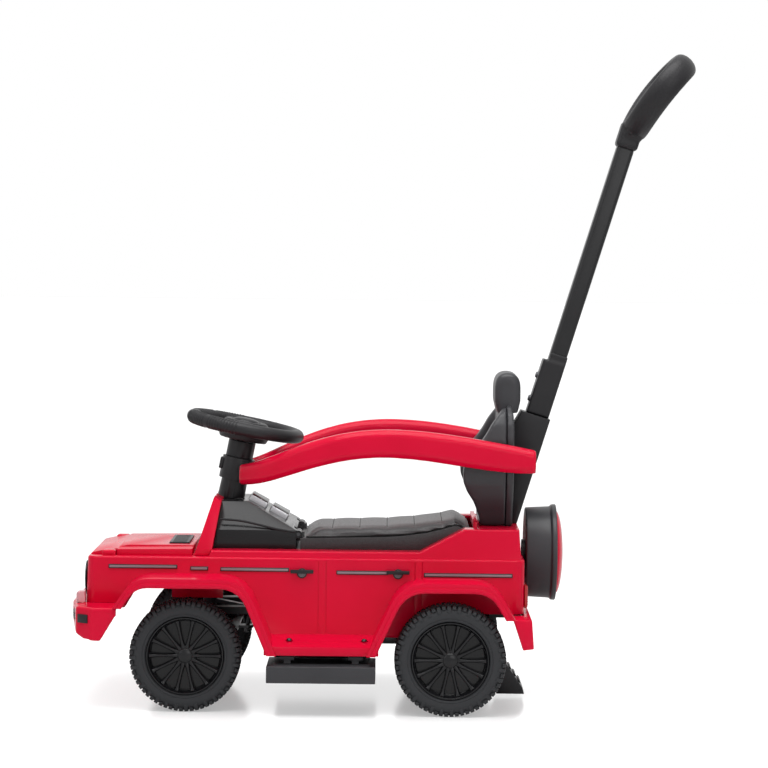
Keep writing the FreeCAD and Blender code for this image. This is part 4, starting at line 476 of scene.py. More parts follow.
soft_black = moulded("soft_black", (0.008, 0.008, 0.009), (0.016, 0.015, 0.017), 0.44, 1500, 0.03 * MM)
stand_for(cast("steering_wheel", "wheel_moulding", 1.5 * MM, 5), soft_black, "steering_wheel")
joints = {j["name"]: j for j in frame["joints"]}
steer = joints["steering_turn"]
hub, lean = Vector(steer["pos_m"]), Vector(steer["axis"]).normalized()
RIM_RADIUS, TUBE, RIB_DEGREES, RIBS = 76 * MM, 9.5 * MM, 3.1, 11
rib_ring = [(TUBE - 1.0 * MM, -0.9 * MM), (TUBE + 0.15 * MM, -0.9 * MM), (TUBE + 0.55 * MM, -0.35 * MM),
            (TUBE + 0.55 * MM, 0.35 * MM), (TUBE + 0.15 * MM, 0.9 * MM), (TUBE - 1.0 * MM, 0.9 * MM)]
ahead = Vector((0, 1, 0)).cross(lean).normalized()
ahead = ahead if ahead.x < 0 else -ahead
for side, word in ((-1, "left"), (1, "right")):
    for first in (14, 52):
        way = Matrix.Rotation(math.radians(first) * side, 3, lean) @ ahead
        rib = turned("rib", rib_ring, hub + way * RIM_RADIUS, lean.cross(way), 28, 40)
        ribs = repeated(rib, soft_black, RIBS, hub, lean, math.radians(RIB_DEGREES) * side)
        ribs.name = "%s_rim_ribs_%d" % (word, first)
        finish(ribs, soft_black, "steering_wheel")
horn = [(0, 11.9), (7, 11.7), (13, 11), (16.8, 9.6), (18.7, 7.8), (19.2, 6.6), (18.6, 6), (0, 6)]
stand_for(turned("horn_dome", mm(horn), hub, lean), black_moulding, "horn_button")
stand_for(rounded("column_housing", "column_moulding", 1.2 * MM), black_moulding, "column_housing")
stand_for(rounded("armrest_collar", "collar_moulding", 1.8 * MM), black_moulding, "armrest_collar")
collar_low, collar_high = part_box("armrest_collar")
collar = hub + lean * (((collar_low.z + collar_high.z) / 2 - hub.z) / lean.z)
front = max((v.co - collar).dot(ahead) for v in nodes["armrest_collar"].data.vertices)
latch = block("collar_latch", collar + ahead * front + lean * 4 * MM, (2.6 * MM, 10 * MM, 8 * MM),
              (ahead, (0, 1, 0), lean), 1.2 * MM)
finish(latch, black_moulding, "armrest_collar")


# Fender lamps: a small rounded red marker on each front wing, beside the bonnet.
# Each is a hollow cap pressed over the stub of the body moulding.
LAMP_FRONT, LAMP_LONG, LAMP_IN, LAMP_WIDE = -400 * MM, 18 * MM, 96 * MM, 18 * MM
LAMP_FOOT, LAMP_TALL, LAMP_LIFT = 211 * MM, 6 * MM, 0.4 * MM
for side, word in ((-1, "left"), (1, "right")):
    middle = (LAMP_FRONT + LAMP_LONG / 2, side * (LAMP_IN + LAMP_WIDE / 2),
              LAMP_FOOT + LAMP_TALL / 2 + LAMP_LIFT)
    half = (LAMP_LONG / 2 + 0.6 * MM, LAMP_WIDE / 2 + 0.6 * MM, LAMP_TALL / 2 + 1.2 * MM)
    finish(block(word + "_fender_lamp", middle, half, radius=3.6 * MM, segments=5), red_gloss, "body_shell")


# Dash: black moulding that slopes down to the seat, under two silver push blocks with black caps.
# The blocks are painted and the caps lie on their faces; both sink together when pressed.
# A low bead curves along each side of the dash.
dash_gloss = moulded("dash_gloss", (0.004, 0.004, 0.005), (0.009, 0.009, 0.010), 0.22, 1800, 0.008 * MM, 0.25)
stand_for(rounded("dash_console", "dash_moulding", 2.4 * MM, 4), dash_gloss, "dash_console")
silver_paint = moulded("silver_paint", (0.50, 0.50, 0.52), (0.60, 0.60, 0.62), 0.34, 2400, 0.008 * MM,
                       sockets={"Metallic": 0.5})
BLOCK_SINK, CAP_INSET, CAP_HALF = 3 * MM, (1.4 * MM, 1.2 * MM), 0.7 * MM
for word in ("upper", "lower"):
    node = word + "_button"
    up = -Vector(joints[node + "_press"]["axis"]).normalized()
    along = Vector((up.z, 0, -up.x))
    corners = [v.co for v in nodes[node].data.vertices]
    (rear, fore), (foot, top) = [(min(c.dot(way) for c in corners), max(c.dot(way) for c in corners))
                                 for way in (along, up)]
    top -= BLOCK_SINK
    middle, wide = along * (rear + fore) / 2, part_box(node)[1].y
    axes = (along, (0, 1, 0), up)
    half = ((fore - rear) / 2, wide, (top - foot) / 2)
    push = block(word + "_push_block", middle + up * (foot + top) / 2, half, axes, 2.4 * MM, 4)
    stand_for(push, silver_paint, node)
    half = (half[0] - CAP_INSET[0], wide - CAP_INSET[1], CAP_HALF)
    cap = block(word + "_push_cap", middle + up * top, half, axes, 0.6 * MM)
    finish(cap, dash_gloss, node)
dash_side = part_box("dash_console")[1].y
bead_path = eased(mm([(-237, 261), (-210, 259.5), (-188, 255), (-156, 247), (-131, 243.6)]), 14 * MM)
BEAD_FOOT, BEAD_TOP, BEAD_PROUD = 1.7 * MM, 1.1 * MM, 0.8 * MM
bead = eased([(-BEAD_FOOT, dash_side - 1 * MM), (-BEAD_TOP, dash_side + BEAD_PROUD),
              (BEAD_TOP, dash_side + BEAD_PROUD), (BEAD_FOOT, dash_side - 1 * MM)],
             0.7 * MM, 3, closed=True)
for side, word in ((-1, "left"), (1, "right")):
    finish(swept(word + "_dash_bead", bead_path, bead, side), dash_gloss, "dash_console")


# Seat: hard black lid under a quilted leatherette cushion that is sewn across in channels.
# The cushion is the CAD form blown up a little as cloth, flat where it lies on the lid, then drawn in
# along its channels; a row of stitches runs in each channel.
def pebble_grain():
    """Small rounded pebbles of embossed leatherette (Height), and painted shade that darkens the valleys round
    them (Shade).
    """
    group, start, end = socket_group("pebble_grain", dict(Size=520), ("Height", "Shade"))
    place = group.nodes.new("ShaderNodeTexCoord")
    cell = group.nodes.new("ShaderNodeTexVoronoi")
    cell.feature = "SMOOTH_F1"
    crown = group.nodes.new("ShaderNodeMapRange")
    crown.inputs["From Max"].default_value = 0.7
    crown.inputs["To Min"].default_value, crown.inputs["To Max"].default_value = 1, 0
    group.links.new(place.outputs["Object"], cell.inputs["Vector"])
    group.links.new(start.outputs["Size"], cell.inputs["Scale"])
    group.links.new(cell.outputs["Distance"], crown.inputs["Value"])
    for label in ("Height", "Shade"):
        group.links.new(crown.outputs["Result"], end.inputs[label])
    return group


def leatherette(name, dark, light, rough):
    """Embossed vinyl, duller in its valleys: rougher there, and darkened by painted shade."""
    material, tree, shader = skin(name, {"Sheen Weight": 0.15, "Sheen Roughness": 0.4})
    grain = tree.nodes.new("ShaderNodeGroup")
    grain.node_tree = pebble_grain()
    # The valleys of the pebble grain take the dark colour: painted shade in the recesses of the grain.
    shades(tree, shader, grain.outputs["Shade"], dark, light)
    gloss = spread(tree, grain.outputs["Shade"], rough + 0.08, rough - 0.08)
    tree.links.new(gloss, shader.inputs["Roughness"])
    relief(tree, shader, grain.outputs["Height"], 0.12 * MM)
    return material


def blown_up(piece, pressure, most):
    """Let a closed mesh swell as cloth; no point moves further than `most`, and its underside stays put."""
    rest = [v.co.copy() for v in piece.data.vertices]
    down = [v.normal.z < -0.35 for v in piece.data.vertices]
    cloth = piece.modifiers.new("filling", "CLOTH")
    cloth.settings.use_pressure = True
    cloth.settings.uniform_pressure_force = pressure
    cloth.settings.effector_weights.gravity = 0
    for step in range(1, 21):
        bpy.context.scene.frame_set(step)
    graph = bpy.context.evaluated_depsgraph_get()
    swollen = [v.co.copy() for v in piece.evaluated_get(graph).data.vertices]
    piece.modifiers.clear()
    bpy.context.scene.frame_set(1)
    for v, old, new, held in zip(piece.data.vertices, rest, swollen, down):
        move = new - old
        v.co = old if held else old + move * min(1, most / max(move.length, 1e-9))


# The darker of these two colours is painted shade that lies in the valleys of the pebble grain.
pad_black = leatherette("pad_black", (0.012, 0.011, 0.012), (0.024, 0.022, 0.024), 0.40)
stand_for(rounded("seat_lid", "lid_moulding", 3.2 * MM, 4), pad_black, "seat_lid")
cushion = new_piece("quilted_cushion", cad_form("seat_cushion"))
cells = cushion.modifiers.new("cells", "REMESH")
cells.mode, cells.voxel_size = "VOXEL", 4.5 * MM
settle(cushion)
blown_up(cushion, 3.0, 2.0 * MM)
finer = cushion.modifiers.new("finer", "SUBSURF")
finer.levels = finer.render_levels = 1
settle(cushion)
CHANNEL_FIRST, CHANNEL_STEP, CHANNELS = -79.3 * MM, 38.67 * MM, 5
SINK, SPREAD = 0.7 * MM, 2.4 * MM
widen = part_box("seat_lid")[1].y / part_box("seat_cushion")[1].y
for v in cushion.data.vertices:
    v.co.y *= widen
    if v.normal.z > 0.1:
        for k in range(CHANNELS):
            away = (v.co.x - CHANNEL_FIRST - CHANNEL_STEP * k) / SPREAD
            v.co.z -= SINK * math.exp(-away * away) * v.normal.z
stand_for(cushion, pad_black, "seat_cushion")
thread = moulded("thread", (0.02, 0.02, 0.02), (0.05, 0.05, 0.05), 0.6, 3000, 0.02 * MM)
STITCH_HALF, STITCH_GAP, STITCHES = 1.7 * MM, 5.2 * MM, 25
stitch_form = [(0, -STITCH_HALF), (0.5 * MM, -STITCH_HALF * 0.7), (0.5 * MM, STITCH_HALF * 0.7),
               (0, STITCH_HALF)]
for k in range(CHANNELS):
    x = CHANNEL_FIRST + CHANNEL_STEP * k
    start = -STITCH_GAP * (STITCHES - 1) / 2
    spot = cushion.ray_cast(Vector((x, 0, 1)), Vector((0, 0, -1)))[1]
    stitch = turned("channel_stitches_%d" % k, stitch_form, (x, start, spot.z - 0.1 * MM), (0, 1, 0), 8, 60)
    stitches = repeated(stitch, thread, STITCHES, (x, start, spot.z), offset=(0, STITCH_GAP, 0))
    finish(stitches, thread, "seat_cushion")


# Backrest: two black bucket halves with a pill-shaped headrest, blow moulded with large soft edges.
# Cross ribs stiffen the seat-side panel.
charcoal = moulded("charcoal", (0.018, 0.018, 0.021), (0.029, 0.029, 0.033), 0.42, 1500, 0.025 * MM, 0.4)
stand_for(cast("backrest_front", "bucket_front", 2.2 * MM, 14), charcoal, "backrest_front")
stand_for(cast("backrest_rear", "bucket_rear", 1.8 * MM, 10), charcoal, "backrest_rear")
stand_for(cast("headrest", "head_pill", 1.8 * MM, 14), charcoal, "headrest")
back_low, back_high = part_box("backrest_front")
PANEL_LEAN, RIB_PITCH, PANEL_RIBS = math.atan2(13, 172), 13 * MM, 8
panel = Vector((math.sin(PANEL_LEAN), 0, math.cos(PANEL_LEAN)))
facing = Vector((-panel.z, 0, panel.x))
first = Vector((back_high.x - 20 * MM, 0, back_low.z + 26 * MM))
rib = block("panel_ribs", first, (2.2 * MM, 52 * MM, 1.6 * MM), (facing, (0, 1, 0), panel), 1.2 * MM, 3)
finish(repeated(rib, charcoal, PANEL_RIBS, first, offset=panel * RIB_PITCH), charcoal, "backrest_front")


# Push handle: a socket on the deck, a moulded sleeve with a stem, a powder-coated tube and a grip loop.
# The tube is drawn steel with large corner radii. The grip is a closed loop of oval section that curves
# away from the pusher, run into a neck over the tube's end, with a small ring boss on each side.
def loop_grip(name, foot, lean_start, lean_end, length):
    """Closed loop of (y, along) points swept with an oval section on a curved centre line."""
    steps, sides = 24, 16

    def spine(along):
        """Point, forward direction and upper normal of the centre line."""
        bend = (lean_end - lean_start) * along / length
        angle = [lean_start + bend * (k + 0.5) / steps for k in range(steps)]
        run = Vector((sum(map(math.sin, angle)), 0, sum(map(math.cos, angle)))) * along / steps
        ahead = Vector((math.sin(lean_start + bend), 0, math.cos(lean_start + bend)))
        return foot + run, ahead, Vector((-ahead.z, 0, ahead.x))

    half = mm([(14, 26), (40, 45), (66, 87), (62, 121), (38, 141)])
    path = eased(half + [(-y, s) for y, s in half[::-1]], 24 * MM, 6, closed=True)
    form = bmesh.new()
    rings = []
    for i, (y, along) in enumerate(path):
        way = (path[(i + 1) % len(path)] - path[i - 1]).normalized()
        spot, ahead, up = spine(along)
        across = Vector((0, way.y, 0)) - ahead * way.x
        ring = []
        for k in range(sides):
            turn = math.tau * k / sides
            ring.append(form.verts.new(spot + Vector((0, y, 0)) + across * BAR_HALF * math.cos(turn)
                                       + up * BAR_TALL * math.sin(turn)))
        rings.append(ring)
    for one, two in zip(rings, rings[1:] + rings[:1]):
        for k in range(sides):
            form.faces.new((one[k], one[(k + 1) % sides], two[(k + 1) % sides], two[k]))
    return from_form(name, form)


powder_coat = moulded("powder_coat", (0.009, 0.009, 0.010), (0.014, 0.014, 0.015), 0.32, 420, 0.03 * MM)
stand_for(rounded("handle_socket", "socket_moulding", 2.2 * MM), black_moulding, "handle_socket")
stand_for(cast("handle_sleeve", "sleeve_moulding", 1.2 * MM, 12), black_moulding, "handle_sleeve")
stand_for(rounded("handle_tube", "corner_tube", 6.0 * MM, 5), powder_coat, "handle_tube")

BAR_HALF, BAR_TALL, NECK_WALL = 12.5 * MM, 19 * MM, 3.5 * MM
stem = Vector(joints["handle_lift"]["axis"]).normalized()
face = Vector((stem.z, 0, -stem.x))
tube = [v.co for v in nodes["handle_tube"].data.vertices]
end = max(c.dot(stem) for c in tube)
back, front = [pick(c.dot(face) for c in tube) for pick in (min, max)]
crown = stem * end + face * (back + front) / 2
loop = loop_grip("loop", crown, math.radians(24), math.radians(48), 156 * MM)
axes = (stem, (0, 1, 0), face)
neck_half = (19 * MM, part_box("handle_tube")[1].y + NECK_WALL, (front - back) / 2 + NECK_WALL)
neck = block("neck", crown + stem * 15 * MM, neck_half, axes, 6 * MM, 4)
knee = block("knee", crown + stem * 26 * MM + face * 4 * MM, (16 * MM, 22 * MM, 15 * MM), axes, 9 * MM, 5)
ring_boss = [(4, 1.6), (5, 2.2), (6.4, 2.2), (7.4, 1.6), (7.4, -2), (4, -2)]
bosses = []
for side in (-1, 1):
    spot = crown + stem * 24 * MM + Vector((0, side * 22 * MM, 0))
    bosses.append(turned("boss", mm(ring_boss), spot, (0, side, 0), 32))
grip = joined("grip_moulding", loop, neck, knee, *bosses)
cells = grip.modifiers.new("cells", "REMESH")
cells.mode, cells.voxel_size = "VOXEL", 1.5 * MM
soften = grip.modifiers.new("soften", "SMOOTH")
soften.factor, soften.iterations = 0.5, 6
stand_for(settle(grip, 40), soft_black, "handle_grip")
snap_grey = moulded("snap_grey", (0.10, 0.10, 0.11), (0.14, 0.14, 0.15), 0.4)
snap = [(0, 3.7), (3, 3.5), (4, 2.9), (4.4, 2), (4.4, -1.4), (3.8, -2), (0, -2)]
for word in ("lower", "upper"):
    outward = -Vector(joints[word + "_snap_press"]["axis"])
    corners = [v.co for v in nodes[word + "_snap_button"].data.vertices]
    middle = sum(corners, Vector()) / len(corners)
    stand_for(turned(word + "_snap", mm(snap), middle, outward, 40), snap_grey, word + "_snap_button")


# Guard rails: two hollow red blow-moulded bars from the column collar to the backrest.
# Their section is fully rounded, and their ends are tucked behind the collar's ears and the backrest.
for word in ("left", "right"):
    stand_for(cast(word + "_armrest", word + "_guard_rail", 2.2 * MM, 8), red_gloss, word + "_armrest")


# Front: red bonnet with a slotted vent, a red cowl round a dark windscreen panel, grille and round lamps.
# The bonnet, cowl and bumper share the body's gloss; lenses are clear domes fluted down their faces.
stand_for(rounded("hood", "bonnet", 2.4 * MM), red_gloss, "hood")
stand_for(rounded("hood_vent", "vent_louvre", 0.8 * MM), black_moulding, "hood_vent")
stand_for(rounded("windscreen_cowl", "cowl_moulding", 2.2 * MM), red_gloss, "windscreen_cowl")
stand_for(cast("front_bumper", "bumper_moulding", 2.0 * MM, 8), red_gloss, "front_bumper")
stand_for(rounded("grille", "grille_moulding", 0.8 * MM), black_moulding, "grille")
stand_for(rounded("headlamp_bezels", "lamp_rings", 1.0 * MM), rim_satin, "headlamp_bezels")

screen_black = moulded("screen_black", (0.006, 0.006, 0.007), (0.010, 0.010, 0.011), 0.14, 2600, 0.004 * MM)
cowl_low, cowl_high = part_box("windscreen_cowl")
COWL_RUN = 26 * MM
lean = Vector((COWL_RUN, 0, cowl_high.z - cowl_low.z)).normalized()
screen_out = Vector((-lean.z, 0, lean.x))
screen_foot = Vector((cowl_low.x, 0, cowl_low.z)) + lean * 21 * MM
SCREEN_TALL, SCREEN_HALF, SCREEN_THICK = 43 * MM, 80 * MM, 0.9 * MM
screen = block("windscreen_panel", screen_foot + lean * SCREEN_TALL / 2 - screen_out * 0.4 * MM,
               (SCREEN_TALL / 2, SCREEN_HALF, SCREEN_THICK), (lean, (0, 1, 0), screen_out), 0.6 * MM)
finish(screen, screen_black, "windscreen_cowl")

clear_lens = moulded("clear_lens", (0.80, 0.80, 0.82), (0.88, 0.88, 0.90), 0.10, 2600, 0.004 * MM,
                     0.5, {"Transmission Weight": 0.55, "IOR": 1.49})
lens_low, lens_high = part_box("headlamp_lenses")
LENS_EASE = 0.2 * MM
LENS_RADIUS = (lens_high.z - lens_low.z) / 2 - LENS_EASE
LENS_DEEP = lens_high.x - lens_low.x
dome = [(LENS_RADIUS * r, LENS_DEEP * deep) for r, deep in (
    (0, 1), (0.5, 0.94), (0.82, 0.7), (0.97, 0.32), (1, 0.03), (0, 0.03))]
lenses = []
for side in (-1, 1):
    across = side * (lens_high.y - LENS_RADIUS - LENS_EASE)
    middle = Vector((lens_high.x, across, (lens_low.z + lens_high.z) / 2))
    lenses.append(turned("lens", dome, middle, (-1, 0, 0), 48))
    flute = block("flute", middle + Vector((-LENS_DEEP * 0.7, -LENS_RADIUS * 0.6, 0)),
                  (LENS_DEEP * 0.35, 0.7 * MM, LENS_RADIUS * 0.6), radius=0.4 * MM)
    lenses.append(repeated(flute, clear_lens, 7, middle, offset=(0, LENS_RADIUS * 0.2, 0)))
stand_for(joined("headlamp_domes", *lenses), clear_lens, "headlamp_lenses")
rosy_lens = moulded("rosy_lens", (0.72, 0.34, 0.37), (0.80, 0.44, 0.47), 0.14, 2600, 0.004 * MM, 0.5,
                    {"Transmission Weight": 0.3, "IOR": 1.49})
stand_for(cast("bumper_lamps", "corner_lamp_domes", 1.0 * MM, 7), rosy_lens, "bumper_lamps")

bumper_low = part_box("front_bumper")[0]
INTAKE_IN, INTAKE_OUT, INTAKE_LOW, INTAKE_HIGH = 106 * MM, 148 * MM, 123.5 * MM, 135.5 * MM
SWEEP_START, SWEEP = 92 * MM, 12 / 74
CORNER_RUN, CORNER_AT = (22, 16), (22.6 * MM, 174 * MM)
INTAKE_MIDDLE, INTAKE_HALF = (INTAKE_IN + INTAKE_OUT) / 2, (INTAKE_OUT - INTAKE_IN) / 2
intake_x = bumper_low.x + (INTAKE_MIDDLE - SWEEP_START) * SWEEP
for side, word in ((-1, "left"), (1, "right")):
    tilt = Vector((SWEEP, side, 0)).normalized()
    axes = (Vector((abs(tilt.y), -tilt.x * side, 0)), tilt, (0, 0, 1))
    middle = Vector((intake_x, side * INTAKE_MIDDLE, (INTAKE_LOW + INTAKE_HIGH) / 2))
    tall = (INTAKE_HIGH - INTAKE_LOW) / 2
    insert = block("intake", middle + axes[0] * 1.8 * MM, (2.2 * MM, INTAKE_HALF, tall), axes, 0.8 * MM)
    lowest = middle + Vector((0, 0, INTAKE_LOW + 2.4 * MM - middle.z))
    slat = block("slats", lowest, (1.0 * MM, INTAKE_HALF - 1 * MM, 0.8 * MM), axes, 0.4 * MM)
    slats = repeated(slat, black_moulding, 3, lowest, offset=(0, 0, 3.6 * MM))
    along = Vector((CORNER_RUN[0], side * CORNER_RUN[1], 0)).normalized()
    corner = Vector((bumper_low.x + CORNER_AT[0], side * CORNER_AT[1], middle.z))
    facing = (along, Vector((-along.y, along.x, 0)), (0, 0, 1))
    grate = block("grate", corner, (9 * MM, 1.6 * MM, tall), facing, 0.8 * MM)
    vent = finish(joined(word + "_intake", insert, slats, grate), black_moulding, "front_bumper")


# Rear: red bumper, ribbed red tail lamps, and the mock spare wheel, a black drum with a red domed cover.
# Drum and cover are turned with soft corners; the anti-tip foot is a solid black bracket with a
# ridged sloping back.
stand_for(rounded("rear_bumper", "rear_bumper_moulding", 2.4 * MM), red_gloss, "rear_bumper")
stand_for(rounded("anti_tip_foot", "foot_bracket", 1.2 * MM), black_moulding, "anti_tip_foot")
foot_low, foot_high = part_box("anti_tip_foot")
FOOT_STRAP, FOOT_LIP, RIDGES = 32 * MM, 8 * MM, 6
heel = Vector((foot_low.x + FOOT_STRAP, 0, foot_high.z))
slope = Vector((foot_high.x, 0, foot_low.z + FOOT_LIP)) - heel
pitch = slope / (RIDGES + 1)
along = slope.normalized()
ridge = block("foot_ridges", heel + pitch, (2.2 * MM, foot_high.y - 3 * MM, 1.0 * MM),
              (along, (0, 1, 0), Vector((-along.z, 0, along.x))), 0.9 * MM)
finish(repeated(ridge, black_moulding, RIDGES, heel + pitch, offset=pitch), black_moulding, "anti_tip_foot")
tail_red = moulded("tail_red", (0.45, 0.010, 0.012), (0.55, 0.016, 0.016), 0.12, 2600, 0.004 * MM,
                   0.5, {"Transmission Weight": 0.35, "IOR": 1.49})
tail_low, tail_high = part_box("tail_lamps")
tails = [rounded("tail_lamps", "tail_bodies", 0.8 * MM)]
for side in (-1, 1):
    first = Vector((tail_high.x - 0.2 * MM, side * (tail_high.y - 16 * MM), tail_low.z + 5 * MM))
    bar = block("tail_bars", first, (0.7 * MM, 13 * MM, 1.0 * MM), radius=0.6 * MM)
    tails.append(repeated(bar, tail_red, 7, first, offset=(0, 0, 3.7 * MM)))
stand_for(joined("tail_lenses", *tails), tail_red, "tail_lamps")

drum_low, drum_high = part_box("spare_drum")
axle = Vector((0, 0, (drum_low.z + drum_high.z) / 2))
LIP = (drum_high.z - drum_low.z) / 2
back, mouth = drum_low.x, drum_high.x
drum = [(0, back + 0.2 * MM), (18 * MM, back + 0.2 * MM), (18 * MM, back + 4.7 * MM)]
wall = [(18 * MM, back + 4.7 * MM), (LIP - 5 * MM, back + 4.7 * MM), (LIP - 3.2 * MM, mouth - 8.5 * MM),
        (LIP - 0.4 * MM, mouth - 7 * MM), (LIP, mouth), (LIP - 9 * MM, mouth),
        (LIP - 9 * MM, mouth - 5.9 * MM)]
drum += [tuple(p) for p in eased(wall, 2.2 * MM)[1:]]
drum += [(LIP - 12 * MM, mouth - 5.9 * MM), (LIP - 12 * MM, back + 9 * MM), (0, back + 9 * MM)]
stand_for(turned("spare_drum_turned", drum, axle, (1, 0, 0), 96), charcoal, "spare_drum")
cover_low, cover_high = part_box("spare_cover")
rim = (cover_high.z - cover_low.z) / 2
cover = [(0, cover_low.x), (rim, cover_low.x), (rim, mouth - 0.4 * MM)]
for k in range(1, 9):
    turn = k / 9 * math.pi / 2
    cover.append((rim * math.cos(turn), mouth + (cover_high.x - mouth) * math.sin(turn)))
cover.append((0, cover_high.x))
stand_for(turned("spare_cover_dome", cover, axle, (1, 0, 0), 96), red_gloss, "spare_cover")


# Side trim: dark strips with a mauve-grey insert, and black pull handles over round grey key bosses.
# The ledge screws are small blackened pan heads with a cross recess.
stand_for(rounded("trim_strips", "trim_bases", 0.5 * MM), black_moulding, "trim_strips")
mauve = moulded("mauve_trim", (0.20, 0.15, 0.17), (0.26, 0.20, 0.22), 0.45, 1800, 0.01 * MM)


def solids(node):
    """Middle and half size of each separate solid of a CAD node."""
    form = bmesh.new()
    form.from_mesh(cad_form(node))
    todo, found = set(form.verts), []
    while todo:
        solid, edge = [], [todo.pop()]
        while edge:
            v = edge.pop()
            solid.append(v.co.copy())
            near = {e.other_vert(v) for e in v.link_edges} & todo
            todo -= near
            edge += near
        low, high = [Vector([pick(c[k] for c in solid) for k in range(3)]) for pick in (min, max)]
        found.append(((low + high) / 2, (high - low) / 2))
    form.free()
    return found


inserts = []
for middle, half in solids("trim_strips"):
    out = math.copysign(1, middle.y)
    inserts.append(block("insert", (middle.x, middle.y + out * 0.35 * MM, middle.z),
                         (half.x - 1.3 * MM, half.y, half.z - 1.2 * MM), radius=0.3 * MM))
finish(joined("trim_inserts", *inserts), mauve, "trim_strips")

stand_for(rounded("door_handles", "pull_handles", 1.2 * MM), black_moulding, "door_handles")
KEY_AT, KEY_HEIGHT, KEY_INSET = (-120 * MM, 14 * MM), 190 * MM, 3 * MM
key_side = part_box("door_handles")[1].y - KEY_INSET
boss = [(0, 1.2), (2.2, 1.1), (2.6, 0.4), (3.8, 0.4), (4.4, 1.0), (5.2, 0.8), (5.6, -1), (0, -1)]
bosses = []
for x in KEY_AT:
    for side in (-1, 1):
        bosses.append(turned("boss", mm(boss), (x, side * key_side, KEY_HEIGHT), (0, side, 0), 32))
finish(joined("key_bosses", *bosses), snap_grey, "door_handles")

pan = [(0, 1.7), (2.0, 1.6), (3.2, 1.0), (3.7, 0.2), (3.7, -1.5), (0, -1.5)]
blackened = moulded("blackened_steel", (0.05, 0.05, 0.052), (0.08, 0.08, 0.082), 0.32, 2600, 0.006 * MM,
                    sockets={"Metallic": 0.9})
heads = []
for middle, half in solids("sill_screws"):
    top = middle + Vector((0, 0, half.z))
    head = turned("head", mm(pan), top, (0, 0, 1), 28)
    for size in ((0.4 * MM, 2.0 * MM, 1.0 * MM), (2.0 * MM, 0.4 * MM, 1.0 * MM)):
        slit = block("slit", top + Vector((0, 0, 1.8 * MM)), size, radius=0.05 * MM, segments=1)
        recess = head.modifiers.new("recess", "BOOLEAN")
        recess.operation, recess.object, recess.solver = "DIFFERENCE", slit, "EXACT"
        settle(head)
        bpy.data.objects.remove(slit)
    heads.append(head)
stand_for(joined("pan_heads", *heads), blackened, "sill_screws")


# Steps: black ribbed foot plates that slide in under the sills on two runners.
# The ribs are low bars along each plate, and a skirt closes the gap between the runners.
rails = sorted((middle.x - half.x, middle.x + half.x) for middle, half in solids("step_rails"))
rail_low, rail_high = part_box("step_rails")
RUN_GAP, SKIRT_INSET, SKIRT_HALF = 1 * MM, 8 * MM, 2 * MM
STEP_RIBS, STEP_PITCH = 6, 4.6 * MM
for side, word in ((-1, "left"), (1, "right")):
    node = word + "_step"
    stand_for(rounded(node, word + "_foot_plate", 1.8 * MM, 4), charcoal, node)
    low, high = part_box(node)
    edge = low.y if side < 0 else high.y
    first = Vector(((low.x + high.x) / 2, edge - side * 6 * MM, rail_low.z - RUN_GAP - 0.5 * MM))
    bar = block(word + "_step_ribs", first, ((high.x - low.x) / 2 - 8 * MM, 1.1 * MM, 0.9 * MM))
    finish(repeated(bar, charcoal, STEP_RIBS, first, offset=(0, -side * STEP_PITCH, 0)), charcoal, node)
    ends = [low.x + SKIRT_INSET, *rails[0], *rails[1], high.x - SKIRT_INSET]
    skirts = []
    for start, end in zip(ends[::2], ends[1::2]):
        middle = ((start + end) / 2, side * (rail_high.y - SKIRT_HALF), (rail_low.z + rail_high.z) / 2)
        skirts.append(block("skirt", middle, ((end - start) / 2, SKIRT_HALF, (rail_high.z - rail_low.z) / 2)))
    finish(joined(word + "_step_skirt", *skirts), black_moulding, "step_rails")


# Scene: a plain white sweep with soft light from all round, strongest from above.
# The camera stands square to the left side, a little above the guard rails, with the photo's slight roll.
HORIZON_PIXEL, FRAME_PIXELS, MM_PER_PIXEL = (390, 249), 768, 1.434
CAMERA_AWAY, CAMERA_HEIGHT, ROLL = 4.0, 0.643, math.radians(0.6)
WHITE, ROOM_LIGHT, FLOOR_LIGHT = (1, 1, 1, 1), 0.54, 0.36
bpy.context.scene.view_settings.view_transform = "Standard"
half = FRAME_PIXELS / 2
pixel = MM_PER_PIXEL * MM
lens = bpy.data.cameras.new("photo_lens")
lens.sensor_width = 36
lens.lens = lens.sensor_width * CAMERA_AWAY / (FRAME_PIXELS * pixel)
lens.clip_end = 100
camera = bpy.data.objects.new("photo_camera", lens)
bpy.context.scene.collection.objects.link(camera)
camera.location = (0, -CAMERA_AWAY, CAMERA_HEIGHT)
aim = Vector(((half - HORIZON_PIXEL[0]) * pixel, 0, CAMERA_HEIGHT - (half - HORIZON_PIXEL[1]) * pixel))
camera.rotation_mode = "QUATERNION"
look = (aim - camera.location).to_track_quat("-Z", "Y")
camera.rotation_quaternion = look @ Matrix.Rotation(ROLL, 3, "Z").to_quaternion()
bpy.context.scene.camera = camera

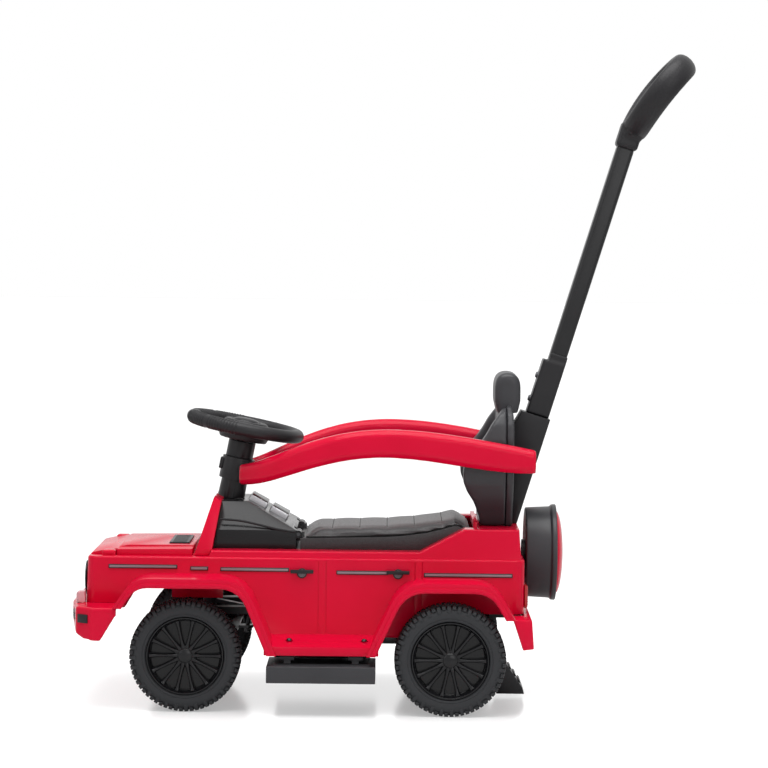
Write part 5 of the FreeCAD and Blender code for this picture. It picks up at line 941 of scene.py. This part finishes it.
world = bpy.data.worlds.new("studio")
bpy.context.scene.world = world
world.use_nodes = True
air = world.node_tree
backdrop = air.nodes["Background"]
rays = air.nodes.new("ShaderNodeLightPath")
seen = air.nodes.new("ShaderNodeMath")
seen.operation = "MAXIMUM"
through = air.nodes.new("ShaderNodeMath")
through.operation = "MAXIMUM"
level = air.nodes.new("ShaderNodeMapRange")
level.inputs["To Min"].default_value, level.inputs["To Max"].default_value = ROOM_LIGHT, 1.0
air.links.new(rays.outputs["Is Camera Ray"], seen.inputs[0])
air.links.new(rays.outputs["Is Glossy Ray"], seen.inputs[1])
air.links.new(seen.outputs[0], through.inputs[0])
air.links.new(rays.outputs["Is Transmission Ray"], through.inputs[1])
air.links.new(through.outputs[0], level.inputs["Value"])
air.links.new(level.outputs["Result"], backdrop.inputs["Strength"])
backdrop.inputs["Color"].default_value = WHITE


def softbox(name, spot, target, size, power):
    """Large soft lamp that faces a point."""
    lamp = bpy.data.lights.new(name, "AREA")
    lamp.shape, lamp.size, lamp.size_y, lamp.energy = "RECTANGLE", size[0], size[1], power
    holder = bpy.data.objects.new(name, lamp)
    bpy.context.scene.collection.objects.link(holder)
    holder.location = spot
    holder.rotation_euler = (Vector(target) - Vector(spot)).to_track_quat("-Z", "Y").to_euler()


softbox("top_box", (0.0, -0.6, 2.6), (0, 0, 0.3), (2.2, 1.8), 62)
softbox("front_box", (-2.4, -1.8, 1.6), (0, 0, 0.3), (1.6, 1.6), 7)
softbox("side_box", (1.2, -3.2, 1.5), (0, 0, 0.3), (2.0, 1.6), 17)

floor_mesh = bpy.data.meshes.new("floor")
floor_mesh.from_pydata([(-30, -30, 0), (30, -30, 0), (30, 30, 0), (-30, 30, 0)], [], [(0, 1, 2, 3)])
floor = new_piece("floor", floor_mesh)
sheet_white, tree, shader = skin("floor_white", {"Base Color": (0.86, 0.86, 0.86, 1), "Roughness": 0.16,
                                                 "Emission Color": WHITE})
rays = tree.nodes.new("ShaderNodeLightPath")
glow = spread(tree, rays.outputs["Is Camera Ray"], 0.0, FLOOR_LIGHT)
tree.links.new(glow, shader.inputs["Emission Strength"])
floor_mesh.materials.append(sheet_white)
